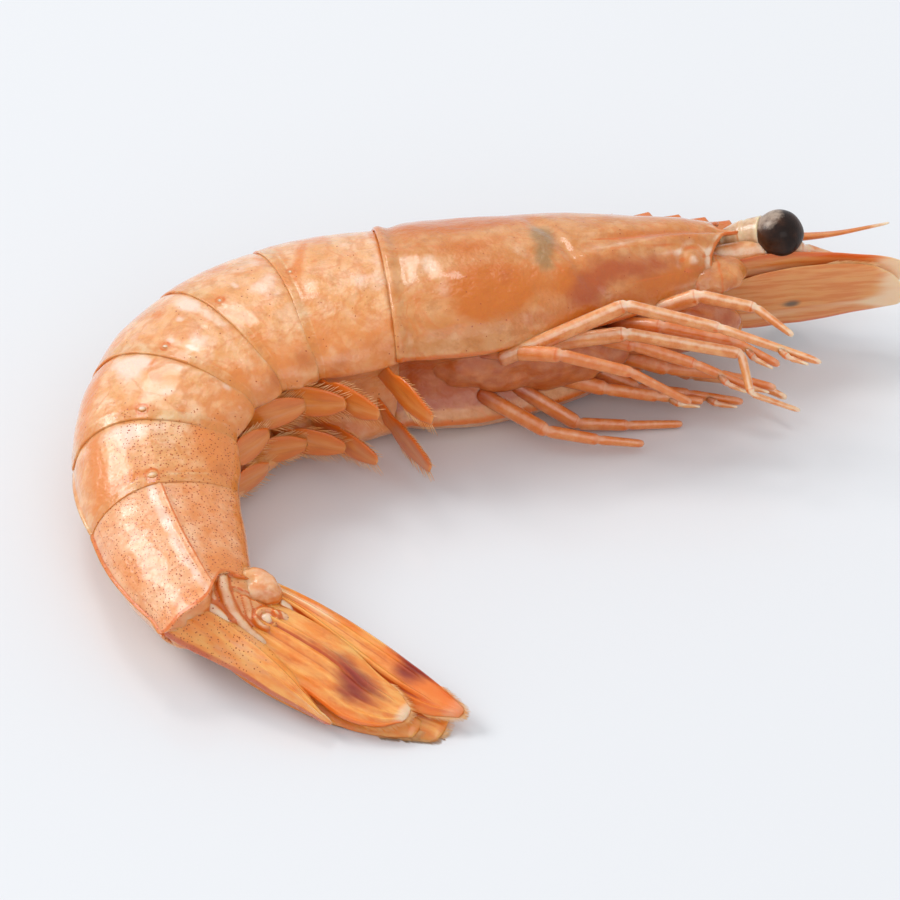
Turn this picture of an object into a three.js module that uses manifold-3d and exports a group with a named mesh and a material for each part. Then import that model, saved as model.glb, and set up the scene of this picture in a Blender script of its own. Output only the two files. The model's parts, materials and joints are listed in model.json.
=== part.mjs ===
// A raw, whole prawn lying on its left side, curled into a C.
// Millimetres, +Z up. The prawn faces +X, its back lies towards +Y at the head and turns round
// through -X to -Y at the tail, and its right side is up. Each shell plate, limb and fin is its own solid.
import * as THREE from 'three';
import { mergeVertices } from 'three/addons/utils/BufferGeometryUtils.js';
import Module from 'manifold-3d';

// Sizes that hold all over the body.
const CLEARANCE = 0.3; // between neighbouring pieces
const REST_FLAT = 0.3; // how much of the lowest side is pressed flat where the prawn lies
const RING_SIDES = 26; // points round the shell
const SHELL_EDGE = 0.5; // thickness of a plate's rear lip
const LIP_REACH = 1.0; // how far a plate's rear lip lies over the next plate
const DOME_DEPTH = 1.6; // how deep the hollow behind a plate's lip is, and the dome that fits it

// The abdomen from the back of the head shield (joint 0) to the tail joint (joint 6). heading is the
// compass direction in which the tail lies, length the plate in front of the joint along its side, and
// dorsal, ventral and half the section's reach towards the back, the belly and each side. roll tips
// the back up, and lift holds the plate off the table.
const FIRST_JOINT = { x: -5.4, y: 9.4 };
const JOINTS = [
  { heading: 186, length: 0, dorsal: 10.4, ventral: 9.4, half: 8.7, roll: 8 },
  { heading: 199.5, length: 10.5, dorsal: 10.6, ventral: 10.0, half: 8.4, roll: 6 },
  { heading: 218.5, length: 7.6, dorsal: 10.3, ventral: 10.0, half: 8.1, roll: 3 },
  { heading: 243, length: 7.5, dorsal: 9.1, ventral: 9.3, half: 7.6, roll: 0 },
  { heading: 267, length: 7.6, dorsal: 7.8, ventral: 8.3, half: 6.8, roll: 0 },
  { heading: 285, length: 7.6, dorsal: 6.8, ventral: 7.8, half: 5.8, roll: 5 },
  { heading: 297, length: 13.9, dorsal: 5.4, ventral: 4.8, half: 4.2, roll: 10, lift: 1.5 },
];
const PLATES = JOINTS.length - 1;
const SHOULDER = 0.5; // length over which a plate widens behind the lip that covers its front
const TUCK = 0.89; // width of a plate's front, under the lip before it, as a share of its full width
const SIDE_LOBE = 0.05; // how much a plate's lower edge bulges between its joints
const KEEL_RISE = 0.07; // how much the last plate's keel bulges between its joints
const TAIL_CAP = { scale: 0.93, reach: 0.5, bulge: 0.9 }; // the last plate's closed rear end

// The head shield in its own frame: forward, up the back, and across to the right. Each station has f,
// its distance forward of joint 0, back and belly, its outline seen from the side, half, its half
// width, and mid, the level at which it is widest.
const HEAD = { heading: 8.5, roll: 8, height: 8.7 };
const SHIELD = [
  { f: 0.6, back: 10.3, belly: -9.4, half: 8.8, mid: 0.0 },
  { f: 2.4, back: 10.5, belly: -9.6, half: 9.0, mid: 0.0 },
  { f: 7, back: 10.5, belly: -9.6, half: 9.0, mid: 0.0 },
  { f: 12, back: 10.3, belly: -8.9, half: 8.9, mid: 0.3 },
  { f: 17, back: 10.0, belly: -7.6, half: 8.5, mid: 0.8 },
  { f: 22, back: 9.5, belly: -6.0, half: 7.8, mid: 1.4 },
  { f: 26.5, back: 8.9, belly: -4.4, half: 7.0, mid: 2.1 },
  { f: 30.5, back: 8.2, belly: -2.7, half: 6.1, mid: 2.7 },
  { f: 33, back: 7.6, belly: -1.2, half: 5.3, mid: 3.2 },
];
const SHIELD_NOSE = [
  { scale: 0.93, reach: 0.7 },
  { scale: 0.62, reach: 0.9 },
  { scale: 0.3, reach: 1.0 },
];

// The crest and beak on the middle of the back: how far forward, its top edge and its bottom edge.
const CREST = [
  [13, 10.6, 9.6],
  [20, 11.5, 9.0],
  [26, 12.0, 8.6],
  [31, 11.0, 7.6],
  [36, 9.5, 6.9],
  [40, 8.0, 6.5],
  [46, 7.3, 6.6],
  [52.3, 7.9, 7.6],
];
const CREST_THICKNESS = 0.9;
const BEAK_TAPER = 16; // length over which the beak thins to its tip
const BEAK_THINNEST = 0.35; // what is left of its thickness there, as a share
const TOOTH = { length: 2.4, height: 0.7, tips: [19.5, 24.2, 28.0, 31.0, 33.6, 36.0] };

// Paired parts of the head, for the right hand: forward, towards the back, and out from the midline.
const MIDLINE = -0.2; // the front of the head bends this far to the left
const EYE = { at: [39.8, 3.4, 4.6], radii: [2.5, 2.5, 2.3], stagger: 0.3 };
const EYESTALK = {
  at: [[32.5, 5.2, 1.6], [34.4, 5.2, 2.2], [36.4, 4.6, 3.3], [38.2, 3.9, 4.0]],
  radii: [1.0, 1.2, 1.7, 1.9],
};
const ANTENNA_BASE = { at: [31.2, -0.5, 4.4], radii: [3.9, 2.4, 2.2] };
const ANTENNULE = {
  at: [[32.5, 2.4, 1.2], [38, 2.6, 1.35], [42, 2.8, 1.3], [45.5, 2.8, 1.1]],
  radii: [1.0, 1.0, 0.8, 0.45],
  lean: 0.045, // how far it bends to the left for each millimetre forward
};
const MAXILLIPED = {
  at: [[24.5, -4.6, 3.0], [29.5, -5.4, 5.6], [34.9, -7.4, 5.3], [37.8, -10.6, 4.6]],
  radii: [0.9, 0.85, 0.6, 0.35],
};
const HEAD_BASE = { at: [26, -3.8, 0], radii: [8.5, 2.6, 3.4] };

// Each leaf, here and in the tail, has rows across it: distance along, inner edge, outer edge, the
// height of its middle, and how far its edges curl up. rib is half its thickness at the midrib, rim
// at the edges, and tip how far it runs out beyond its last row.
const ANTENNA_SCALE = {
  level: 0.6,
  stagger: 0.5,
  midline: -1.1,
  leaf: { rib: 0.34, rim: 0.16, tip: 0.4 },
  rows: [
    [33.6, 1.6, 4.2, 0, 0],
    [36.5, -0.4, 4.7, 0, 0.2],
    [40, -1.3, 4.7, 0, 0.3],
    [44, -1.5, 4.3, -0.1, 0.3],
    [48, -1.3, 3.6, -0.2, 0.3],
    [50.6, -0.4, 3.1, -0.3, 0.2],
    [51.8, 0.7, 2.7, -0.3, 0],
  ],
};

// Walking legs from the mouth backwards, each a chain of joints: forward, towards the back, to the
// right. The first three pairs end in a claw, whose finger starts before the tip.
const LEG_RADII = [1.3, 0.95, 0.75, 0.5, 0.3];
const CLAWED_LEGS = 3;
const FINGER = { start: -3.4, knuckle: 1.4, length: 3.2, spread: 0.8, radii: [0.42, 0.4, 0.16] };
const LEGS = {
  right: [
    [[20.5, -4.5, 2.0], [25.5, -7.6, 4.0], [32.5, -9.8, 3.2], [36.2, -12.2, 2.2]],
    [[17.5, -5.5, 2.0], [22.6, -8.6, 2.8], [28.4, -11.0, 1.8], [33.4, -13.2, 0.2]],
    [[13, -6.5, 4.2], [21.6, -7.9, 7.9], [30.5, -11.2, 6.9], [38.8, -15.2, 5.6]],
    [[10.5, -7, 2.2], [21.6, -8.9, 4.9], [32.6, -12.4, 4.2], [33, -16, 2.2], [37.5, -16.6, 0]],
    [[7, -7.5, 3.0], [14.6, -11.6, 5.6], [21.6, -12.6, 3.2], [27, -13.4, -0.6]],
  ],
  left: [
    [[20.5, -4.5, -2.0], [26.5, -7.2, -2.6], [31.6, -8.4, -2.8], [36.4, -10.6, -3.0]],
    [[17.5, -5.5, -2.2], [23.5, -7.4, -5.0], [28.6, -8.4, -5.4], [33.4, -9.8, -5.6]],
    [[14, -6.5, -2.4], [20, -8.6, -3.2], [25.2, -9.4, -4.2], [29.4, -9.8, -5.0]],
    [[10.5, -7, -2.8], [17, -10.4, -6.0], [22, -10.9, -6.4], [27, -11.2, -6.6]],
    [[7, -7.5, -3.0], [13.4, -12.6, -4.2], [18.4, -13.8, -4.9], [22.6, -14.2, -5.6]],
  ],
};

// Swimmerets: a flat blade under each of the first five plates, on each side. Each is shorter than
// the one before it by the share shrink, and its rows are given at shares of its length.
const SWIMMERET = {
  length: 12,
  shrink: 0.075,
  station: 0.35, // where it starts, as a share of the plate's length
  depth: 0.72, // and as a share of the way from the middle of the plate to its belly
  spread: 2.6, // out from the midline, less on each plate by closing
  closing: 0.2,
  lean: { belly: 0.8, forward: 0.3, outward: 0.1 }, // its direction under the first plate
  sweep: 0.07, // how much more each of the next ones leans forward
  leaf: { rib: 0.7, rim: 0.3, tip: 0.4 },
  rows: [
    [0, -0.9, 1.1],
    [0.25, -1.3, 1.4],
    [0.36, -1.1, 1.4],
    [0.5, -1.6, 1.9, 0.1],
    [0.75, -1.3, 1.8, 0.3],
    [0.93, -0.6, 1.1, 0.5],
  ],
};

// The tail fin, closed like a fan: the telson on top, then the right pair of blades, then the left.
// It lies flatter than the body, so its back faces up and outwards.
const FIN = { x: -21, y: -31, z: 4.4, heading: -30.3, pitch: -9, roll: 68 };
const FIN_GAP = 0.05; // how high the lowest fin blade lies
const UROPOD_BASES = {
  right: { at: [0.7, 4.5, 1.4], radii: [2.6, 1.7, 1.3] },
  left: { at: [0.8, -1.6, -0.8], radii: [2.5, 1.6, 1.0] },
};
const TELSON = {
  leaf: { rib: 1.3, rim: 0.4, tip: 1.2 },
  rows: [
    [-3.0, -3.0, 0.5, 1.5, -0.9],
    [-1.0, -3.4, 0.2, 1.6, -1.0],
    [3.5, -3.9, -0.3, 1.6, -0.8],
    [7.5, -4.1, -0.8, 1.4, -0.6],
    [10.5, -4.0, -2.2, 1.0, -0.4],
    [13.0, -4.1, -3.4, 0.8, -0.1],
  ],
};
const UROPODS = {
  outer_uropod_right: {
    leaf: { rib: 0.6, rim: 0.22, tip: 0.4 },
    rows: [
      [1.6, 2.6, 6.0, 0.4],
      [5, 2.6, 6.2, 0.3],
      [9, 1.8, 6.2, 0.2],
      [13, 1.2, 5.9, 0.1],
      [17, 1.0, 5.4, 0.0],
      [21, 1.6, 4.7, -0.1],
      [23.6, 2.8, 4.0, -0.2],
    ],
  },
  inner_uropod_right: {
    leaf: { rib: 0.6, rim: 0.22, tip: 0.4 },
    rows: [
      [0.4, -0.8, 3.2, 1.1],
      [3.2, -1.6, 3.9, 1.1],
      [7, -2.2, 4.1, 1.1],
      [11, -2.5, 3.8, 1.1],
      [15, -2.9, 2.7, 0.9],
      [18, -2.0, 2.0, 0.8],
      [19.6, -0.6, 1.2, 0.8],
    ],
  },
  inner_uropod_left: {
    leaf: { rib: 0.5, rim: 0.2, tip: 0.4 },
    rows: [
      [1.8, -3.0, 1.4, -0.4],
      [5, -3.6, 1.8, -0.5],
      [10, -3.5, 1.6, -0.6],
      [15, -3.1, 1.0, -0.7],
      [18.5, -2.1, 1.2, -0.7],
      [20.8, -0.9, 1.1, -0.7],
    ],
  },
  outer_uropod_left: {
    leaf: { rib: 0.5, rim: 0.2, tip: 0.4 },
    rows: [
      [1.8, -3.2, 0.8, -1.2],
      [5, -3.6, 1.2, -1.3],
      [10, -3.6, 1.4, -1.4],
      [15, -3.1, 1.4, -1.4],
      [19.5, -1.8, 1.8, -1.4],
      [22.8, -0.3, 1.9, -1.4],
    ],
  },
};

const COLOURS = {
  shell: '#e2a070',
  shield: '#cf8f63',
  belly: '#d98a55',
  limb: '#e8a878',
  fin: '#d9702f',
  eye: '#2b2320',
  stalk: '#e3c09a',
};
const WET = 0.35; // roughness of wet shell
const GLASSY = 0.1; // roughness of the eyes

const { degToRad: rad, lerp, clamp } = THREE.MathUtils;
const vec = (x, y, z) => new THREE.Vector3(x, y, z);
const last = (list) => list[list.length - 1];
const wasm = await Module();
wasm.setup();

// Joins rings of points into one closed skin, from a first tip to a last tip.
function skin(firstTip, rings, lastTip) {
  const sides = rings[0].length;
  const points = [firstTip, ...rings.flat(), lastTip];
  const at = (ring, side) => 1 + ring * sides + (side % sides);
  const end = points.length - 1;
  const faces = [];
  for (let side = 0; side < sides; side++) {
    faces.push(0, at(0, side + 1), at(0, side));
    for (let ring = 0; ring + 1 < rings.length; ring++) {
      faces.push(at(ring, side), at(ring, side + 1), at(ring + 1, side + 1));
      faces.push(at(ring, side), at(ring + 1, side + 1), at(ring + 1, side));
    }
    faces.push(end, at(rings.length - 1, side), at(rings.length - 1, side + 1));
  }
  let volume = 0;
  for (let i = 0; i < faces.length; i += 3) {
    const [a, b, c] = [points[faces[i]], points[faces[i + 1]], points[faces[i + 2]]];
    volume += a.dot(vec(0, 0, 0).crossVectors(b, c));
  }
  if (volume < 0) faces.reverse();
  const geometry = new THREE.BufferGeometry().setFromPoints(points);
  geometry.setIndex(faces);
  return geometry;
}

function toSolid(geometry) {
  const MERGE = 1e-4;
  const bare = geometry.clone();
  bare.deleteAttribute('normal');
  bare.deleteAttribute('uv');
  const merged = mergeVertices(bare, MERGE);
  return new wasm.Manifold(
    new wasm.Mesh({
      numProp: 3,
      vertProperties: new Float32Array(merged.attributes.position.array),
      triVerts: new Uint32Array(merged.index.array),
    }),
  );
}

function fromSolid(solid) {
  const mesh = solid.getMesh();
  const geometry = new THREE.BufferGeometry();
  geometry.setAttribute('position', new THREE.BufferAttribute(mesh.vertProperties, 3));
  geometry.setIndex(new THREE.BufferAttribute(mesh.triVerts, 1));
  return geometry;
}

// The outline of the body across its length, at an angle from the middle of the back (0) to the
// middle of the belly (180), as [towards the back, towards the side]. keel makes the back sharper,
// skirt is the width between the lower edges of the sides, and hollow the depth of the belly there.
function sectionPoint(angle, { dorsal, ventral, half, mid = 0, keel = 0, skirt = 0.52, hollow = 0.8 }) {
  const SKIRT_EDGE = 150; // the lower edge of the side plate, degrees
  const turn = Math.abs(angle);
  const side = Math.sign(angle) || 1;
  if (turn <= 90) {
    const roundness = 0.9 + 0.5 * keel;
    return [mid + (dorsal - mid) * Math.cos(rad(turn)), side * half * Math.sin(rad(turn)) ** roundness];
  }
  if (turn <= SKIRT_EDGE) {
    const t = (turn - 90) / (SKIRT_EDGE - 90);
    const down = Math.sin((t * Math.PI) / 2);
    return [mid - (ventral + mid) * down, side * half * (1 - (1 - skirt) * t * t)];
  }
  const t = (turn - SKIRT_EDGE) / (180 - SKIRT_EDGE);
  const reach = lerp(1, hollow, Math.sin((t * Math.PI) / 2));
  return [mid - (ventral + mid) * reach, side * half * skirt * (1 - t)];
}

function ringAngles() {
  return Array.from({ length: RING_SIDES }, (_, i) => -180 + (360 * (i + 1)) / RING_SIDES);
}

// One ring of the abdomen: the section at a frame {origin, back, side}, scaled about its middle.
function ringAt(frame, shape, scale = 1) {
  return ringAngles().map((angle) => {
    const [u, w] = sectionPoint(angle, shape);
    return frame.origin
      .clone()
      .addScaledVector(frame.back, u * scale)
      .addScaledVector(frame.side, w * scale);
  });
}

function lowest(points) {
  return Math.min(...points.map((p) => p.z));
}

function pressFlat(points) {
  points.forEach((p) => (p.z = Math.max(p.z, 0)));
}

// A direction on the table, and the back and side directions of what lies along it, tipped by roll.
function lying(heading, outward, roll) {
  const tail = vec(Math.cos(heading), Math.sin(heading), 0);
  const level = vec(Math.cos(outward), Math.sin(outward), 0);
  const up = vec(0, 0, 1);
  const back = level.clone().multiplyScalar(Math.cos(roll)).addScaledVector(up, Math.sin(roll));
  const side = up.clone().multiplyScalar(Math.cos(roll)).addScaledVector(level, -Math.sin(roll));
  return { tail, back, side };
}

// Where the side line is after turning from one heading to another along an arc of a given radius.
function alongArc({ x, y }, radius, from, to) {
  return {
    x: x + radius * (Math.sin(to) - Math.sin(from)),
    y: y - radius * (Math.cos(to) - Math.cos(from)),
  };
}

// Radius of the side line along plate number i.
function arcRadius(i) {
  return JOINTS[i].length / rad(JOINTS[i].heading - JOINTS[i - 1].heading);
}

// Where each joint lies on the floor plan: the side line is a chain of arcs.
function jointPlaces() {
  const places = [FIRST_JOINT];
  for (let i = 1; i < JOINTS.length; i++) {
    const [from, to] = [rad(JOINTS[i - 1].heading), rad(JOINTS[i].heading)];
    places.push(alongArc(last(places), arcRadius(i), from, to));
  }
  return places;
}
const PLACES = jointPlaces();

// Shape and frame of the abdomen at a share t of the way along plate number i (1 to 6).
function abdomenAt(i, t) {
  const [before, after] = [JOINTS[i - 1], JOINTS[i]];
  const mix = (key) => lerp(before[key] ?? 0, after[key] ?? 0, t);
  const heading = rad(mix('heading'));
  const { x, y } = alongArc(PLACES[i - 1], arcRadius(i), rad(before.heading), heading);
  const frame = { origin: vec(x, y, 0), ...lying(heading, heading - Math.PI / 2, rad(mix('roll'))) };
  const keel = clamp(i + 1 - PLATES + t, 0, 1);
  const shape = { dorsal: mix('dorsal'), ventral: mix('ventral'), half: mix('half'), keel };
  frame.origin.z = mix('lift') - lowest(ringAt(frame, shape)) - REST_FLAT;
  return { frame, shape };
}

function shifted(points, direction, distance) {
  return points.map((p) => p.clone().addScaledVector(direction, distance));
}

// Rings that close an end with a shallow dome, from the rim inwards.
function dome(frame, shape, scale, depth, offset) {
  const SHARES = [0.72, 0.38];
  return SHARES.map((share) => {
    const ring = ringAt(frame, shape, scale * share);
    return shifted(ring, frame.tail, offset - depth * (1 - share * share));
  });
}

// Rings along the outside of plate number i, from behind the lip that covers its front to its rear.
function plateRings(i, bigger) {
  const { length } = JOINTS[i];
  const tuckEnd = (LIP_REACH + 1.5 * CLEARANCE) / length;
  const PROFILE = [
    [tuckEnd, TUCK + 0.01],
    [tuckEnd + SHOULDER / length, 0.97],
    [0.45, 1.0],
    [0.75, 1.01],
    [1, 1],
  ];
  return PROFILE.map(([t, scale]) => {
    const { frame, shape } = abdomenAt(i, t);
    const bulge = Math.sin(Math.PI * t);
    const dorsal = shape.dorsal * (1 + (i === PLATES ? KEEL_RISE * bulge : 0));
    const ventral = shape.ventral * (1 + SIDE_LOBE * bulge);
    return ringAt(frame, { ...shape, dorsal, ventral }, scale * bigger);
  });
}

// One plate of the abdomen. Its front is tucked under the lip of the plate before it; its rear is a
// cup with a thin lip. grow makes it larger all round, as a tool to trim what touches it.
function abdomenPlate(i, grow = 0) {
  const start = abdomenAt(i, 0);
  const end = abdomenAt(i, 1);
  const bigger = 1 + grow / end.shape.half;
  const front = CLEARANCE - grow;
  const tuck = TUCK * bigger;
  const rings = [
    ...dome(start.frame, start.shape, tuck, DOME_DEPTH, front).reverse(),
    shifted(ringAt(start.frame, start.shape, tuck), start.frame.tail, front),
    ...plateRings(i, bigger),
  ];
  let reach = -DOME_DEPTH;
  if (i === PLATES) {
    const { scale, bulge } = TAIL_CAP;
    const cap = TAIL_CAP.reach + grow;
    rings.push(shifted(ringAt(end.frame, end.shape, scale * bigger), end.frame.tail, cap));
    rings.push(...dome(end.frame, end.shape, scale, -bulge, cap));
    reach = cap + bulge;
  } else {
    const lip = abdomenAt(i + 1, LIP_REACH / JOINTS[i + 1].length);
    const inner = 1 - SHELL_EDGE / end.shape.half;
    rings.push(ringAt(lip.frame, lip.shape), ringAt(lip.frame, lip.shape, inner));
    rings.push(ringAt(end.frame, end.shape, inner - 0.01));
    rings.push(...dome(end.frame, end.shape, inner - 0.01, DOME_DEPTH, 0));
  }
  rings.forEach(pressFlat);
  const firstTip = start.frame.origin.clone().addScaledVector(start.frame.tail, front - DOME_DEPTH);
  const lastTip = end.frame.origin.clone().addScaledVector(end.frame.tail, reach);
  return skin(firstTip, rings, lastTip);
}

// The head's own frame, with its origin at the first joint.
function headFrame() {
  const heading = rad(HEAD.heading);
  const { tail, back, side } = lying(heading, heading + Math.PI / 2, rad(HEAD.roll));
  return { origin: vec(FIRST_JOINT.x, FIRST_JOINT.y, HEAD.height), forward: tail, back, side };
}
const HEAD_FRAME = headFrame();
const HEAD_AXES = [HEAD_FRAME.forward, HEAD_FRAME.back, HEAD_FRAME.side];

// A point at three distances along three directions from an origin.
function pointIn(origin, axes, distances) {
  const point = origin.clone();
  axes.forEach((axis, i) => point.addScaledVector(axis, distances[i]));
  return point;
}

// A point of the head: forward, towards the back, towards the right side.
function headPoint(forward, back, side) {
  return pointIn(HEAD_FRAME.origin, HEAD_AXES, [forward, back, side]);
}

function shieldRing(station, scale = 1, shift = 0, grow = 0) {
  const shape = {
    dorsal: station.back + grow,
    ventral: -station.belly + grow,
    half: station.half + grow,
    mid: station.mid,
    hollow: 0.72,
    skirt: 0.5,
  };
  const middle = station.mid / 2;
  return ringAngles().map((angle) => {
    const [u, w] = sectionPoint(angle, shape);
    return headPoint(station.f + shift, middle + (u - middle) * scale, w * scale);
  });
}

// The head shield without its crest. grow makes it larger all round, as a tool to trim what touches it.
function headShield(grow = 0) {
  const first = SHIELD[0];
  const front = last(SHIELD);
  const inner = 1 - SHELL_EDGE / first.half;
  const cup = [
    shieldRing(first, 0.36, DOME_DEPTH),
    shieldRing(first, 0.68, DOME_DEPTH * 0.6),
    shieldRing(first, inner - 0.01, 0),
    shieldRing(first, inner, -LIP_REACH),
    shieldRing({ ...first, half: first.half - 0.1 }, 1, -LIP_REACH),
  ];
  const cap = [shieldRing(first, 0.5, -LIP_REACH, grow), shieldRing(first, 1, -LIP_REACH, grow)];
  const rings = [
    ...(grow === 0 ? cup : cap),
    ...SHIELD.map((station) => shieldRing(station, 1, 0, grow)),
    ...SHIELD_NOSE.map(({ scale, reach }) => shieldRing(front, scale, reach, grow)),
  ];
  rings.forEach(pressFlat);
  const firstTip = headPoint(first.f + (grow === 0 ? DOME_DEPTH : -LIP_REACH), first.mid, 0);
  return skin(firstTip, rings, headPoint(front.f + last(SHIELD_NOSE).reach + grow, front.mid, 0));
}

// Height of the crest's top (column 1) or bottom (column 2) edge.
function crestEdge(forward, column) {
  const i = Math.max(1, CREST.findIndex((row) => row[0] >= forward));
  const t = (forward - CREST[i - 1][0]) / (CREST[i][0] - CREST[i - 1][0]);
  return lerp(CREST[i - 1][column], CREST[i][column], t);
}

// The crest and beak: one thin blade on the middle of the back, cut into teeth that point forward.
function crestBlade() {
  const NOTCH = { forward: 0.15, depth: 0.05 };
  const BEAK_STOPS = [39, 42.5, 46];
  const start = CREST[0][0];
  const end = last(CREST)[0];
  const top = [[start, crestEdge(start, 1)]];
  for (const tip of TOOTH.tips) {
    top.push([tip - TOOTH.length, crestEdge(tip - TOOTH.length, 1)]);
    top.push([tip, crestEdge(tip, 1) + TOOTH.height]);
    top.push([tip + NOTCH.forward, crestEdge(tip, 1) - NOTCH.depth]);
  }
  for (const f of [...BEAK_STOPS, end]) top.push([f, crestEdge(f, 1)]);
  const bottom = CREST.map((row) => [row[0], row[2]]).reverse();
  const outline = new THREE.Shape([...top, ...bottom].map(([f, u]) => new THREE.Vector2(f, u)));
  const flat = new THREE.ExtrudeGeometry(outline, { depth: CREST_THICKNESS, bevelEnabled: false });
  flat.translate(0, 0, -CREST_THICKNESS / 2);
  const spot = flat.getAttribute('position');
  for (let i = 0; i < spot.count; i++) {
    const taper = clamp((end + 1 - spot.getX(i)) / BEAK_TAPER, BEAK_THINNEST, 1);
    const p = headPoint(spot.getX(i), spot.getY(i), spot.getZ(i) * taper);
    spot.setXYZ(i, p.x, p.y, p.z);
  }
  return toSolid(flat);
}

// Ellipsoid about a point, with its own three directions and radii.
function ellipsoid(centre, axes, radii, sides = 10, rows = 6) {
  const at = (polar, turn) =>
    pointIn(centre, axes, [
      -Math.cos(polar) * radii[0],
      Math.sin(polar) * Math.cos(turn) * radii[1],
      Math.sin(polar) * Math.sin(turn) * radii[2],
    ]);
  const rings = [];
  for (let row = 1; row < rows; row++) {
    const turns = Array.from({ length: sides }, (_, side) => (2 * Math.PI * side) / sides);
    rings.push(turns.map((turn) => at((Math.PI * row) / rows, turn)));
  }
  return skin(at(0, 0), rings, at(Math.PI, 0));
}

// A limb: a ring of a given radius round each stop [place, radius], drawn out to a point at both ends.
function limb(stops, sides = 6, grow = 0) {
  const START_POINT = 0.06; // how far each end's point lies beyond it, as a share of the last stretch
  const END_POINT = 0.25;
  const places = stops.map(([place]) => place);
  const end = stops.length - 1;
  let across = vec(0, 0, 1);
  const rings = stops.map(([place, radius], i) => {
    const along = places[Math.min(end, i + 1)].clone().sub(places[Math.max(0, i - 1)]).normalize();
    across = across.clone().addScaledVector(along, -across.dot(along)).normalize();
    const other = along.clone().cross(across);
    const turns = Array.from({ length: sides }, (_, side) => (2 * Math.PI * side) / sides);
    return turns.map((turn) =>
      place
        .clone()
        .addScaledVector(across, Math.cos(turn) * (radius + grow))
        .addScaledVector(other, Math.sin(turn) * (radius + grow)),
    );
  });
  const startTip = places[0].clone().lerp(places[1], -START_POINT);
  return skin(startTip, rings, places[end].clone().lerp(places[end - 1], -END_POINT));
}

// Stops along a jointed limb, thicker just before each joint than just after it.
function jointed(points, radii) {
  const AFTER = { share: 0.05, scale: 0.82 };
  const BEFORE = { share: 0.93, scale: 1.12 };
  const stops = [];
  for (let i = 0; i + 1 < points.length; i++) {
    const [a, b] = [points[i], points[i + 1]];
    stops.push([a.clone().lerp(b, AFTER.share), radii[i] * AFTER.scale]);
    stops.push([a.clone().lerp(b, BEFORE.share), radii[i + 1] * BEFORE.scale]);
  }
  return stops;
}

// A flat leaf such as a fin, with a midrib. grow makes it larger all round.
function leaf(frame, { rows, leaf: { rib, rim, tip } }, grow = 0) {
  const SHARES = [0, 0.22, 0.5, 0.78, 1];
  const RISE = [0, 0.45, 1, 0.45, 0];
  const START_POINT = 0.2;
  const axes = [frame.along, frame.across, frame.normal];
  const place = (a, s, n) => pointIn(frame.origin, axes, [a, s, n]);
  const rings = rows.map(([a, inner, outer, lift = 0, curl = 0]) => {
    const across = (share) => lerp(inner - grow, outer + grow, share);
    const bend = (share) => lift + curl * (share * 2 - 1) ** 2;
    const upper = SHARES.map((share, j) => {
      return place(a, across(share), bend(share) + rim + grow + (rib - rim) * RISE[j]);
    });
    const lower = SHARES.map((share) => place(a, across(share), bend(share) - rim - grow));
    return [...upper, ...lower.reverse()];
  });
  const middle = ([a, inner, outer, lift = 0], reach) => place(a + reach, (inner + outer) / 2, lift);
  return skin(middle(rows[0], -START_POINT), rings, middle(last(rows), tip + grow));
}

const root = new THREE.Group();

function addPiece(name, geometry, colour, roughness = WET) {
  const material = new THREE.MeshStandardMaterial({ color: colour, roughness, metalness: 0 });
  const mesh = new THREE.Mesh(geometry, material);
  mesh.name = name;
  root.add(mesh);
}

// What is left of a piece after larger copies of its neighbours are cut away.
function trimmed(geometry, tools) {
  let solid = toSolid(geometry);
  for (const tool of tools) solid = solid.subtract(tool);
  const bodies = solid.decompose().sort((a, b) => b.volume() - a.volume());
  return fromSolid(bodies[0]);
}

// An ellipsoid of the given radii, and the larger one that trims its neighbours.
function ball(centre, axes, radii, sides, rows) {
  const larger = radii.map((radius) => radius + CLEARANCE);
  return {
    geometry: ellipsoid(centre, axes, radii, sides, rows),
    tool: toSolid(ellipsoid(centre, axes, larger, sides, rows)),
  };
}

const shieldTool = toSolid(headShield(CLEARANCE));
addPiece('carapace', fromSolid(toSolid(headShield()).add(crestBlade())), COLOURS.shield);
for (let i = 1; i <= PLATES; i++) addPiece(`abdomen_plate_${i}`, abdomenPlate(i), COLOURS.shell);

const mouth = ball(headPoint(...HEAD_BASE.at), HEAD_AXES, HEAD_BASE.radii, 12, 6);
addPiece('head_base', trimmed(mouth.geometry, [shieldTool]), COLOURS.limb);

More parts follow.
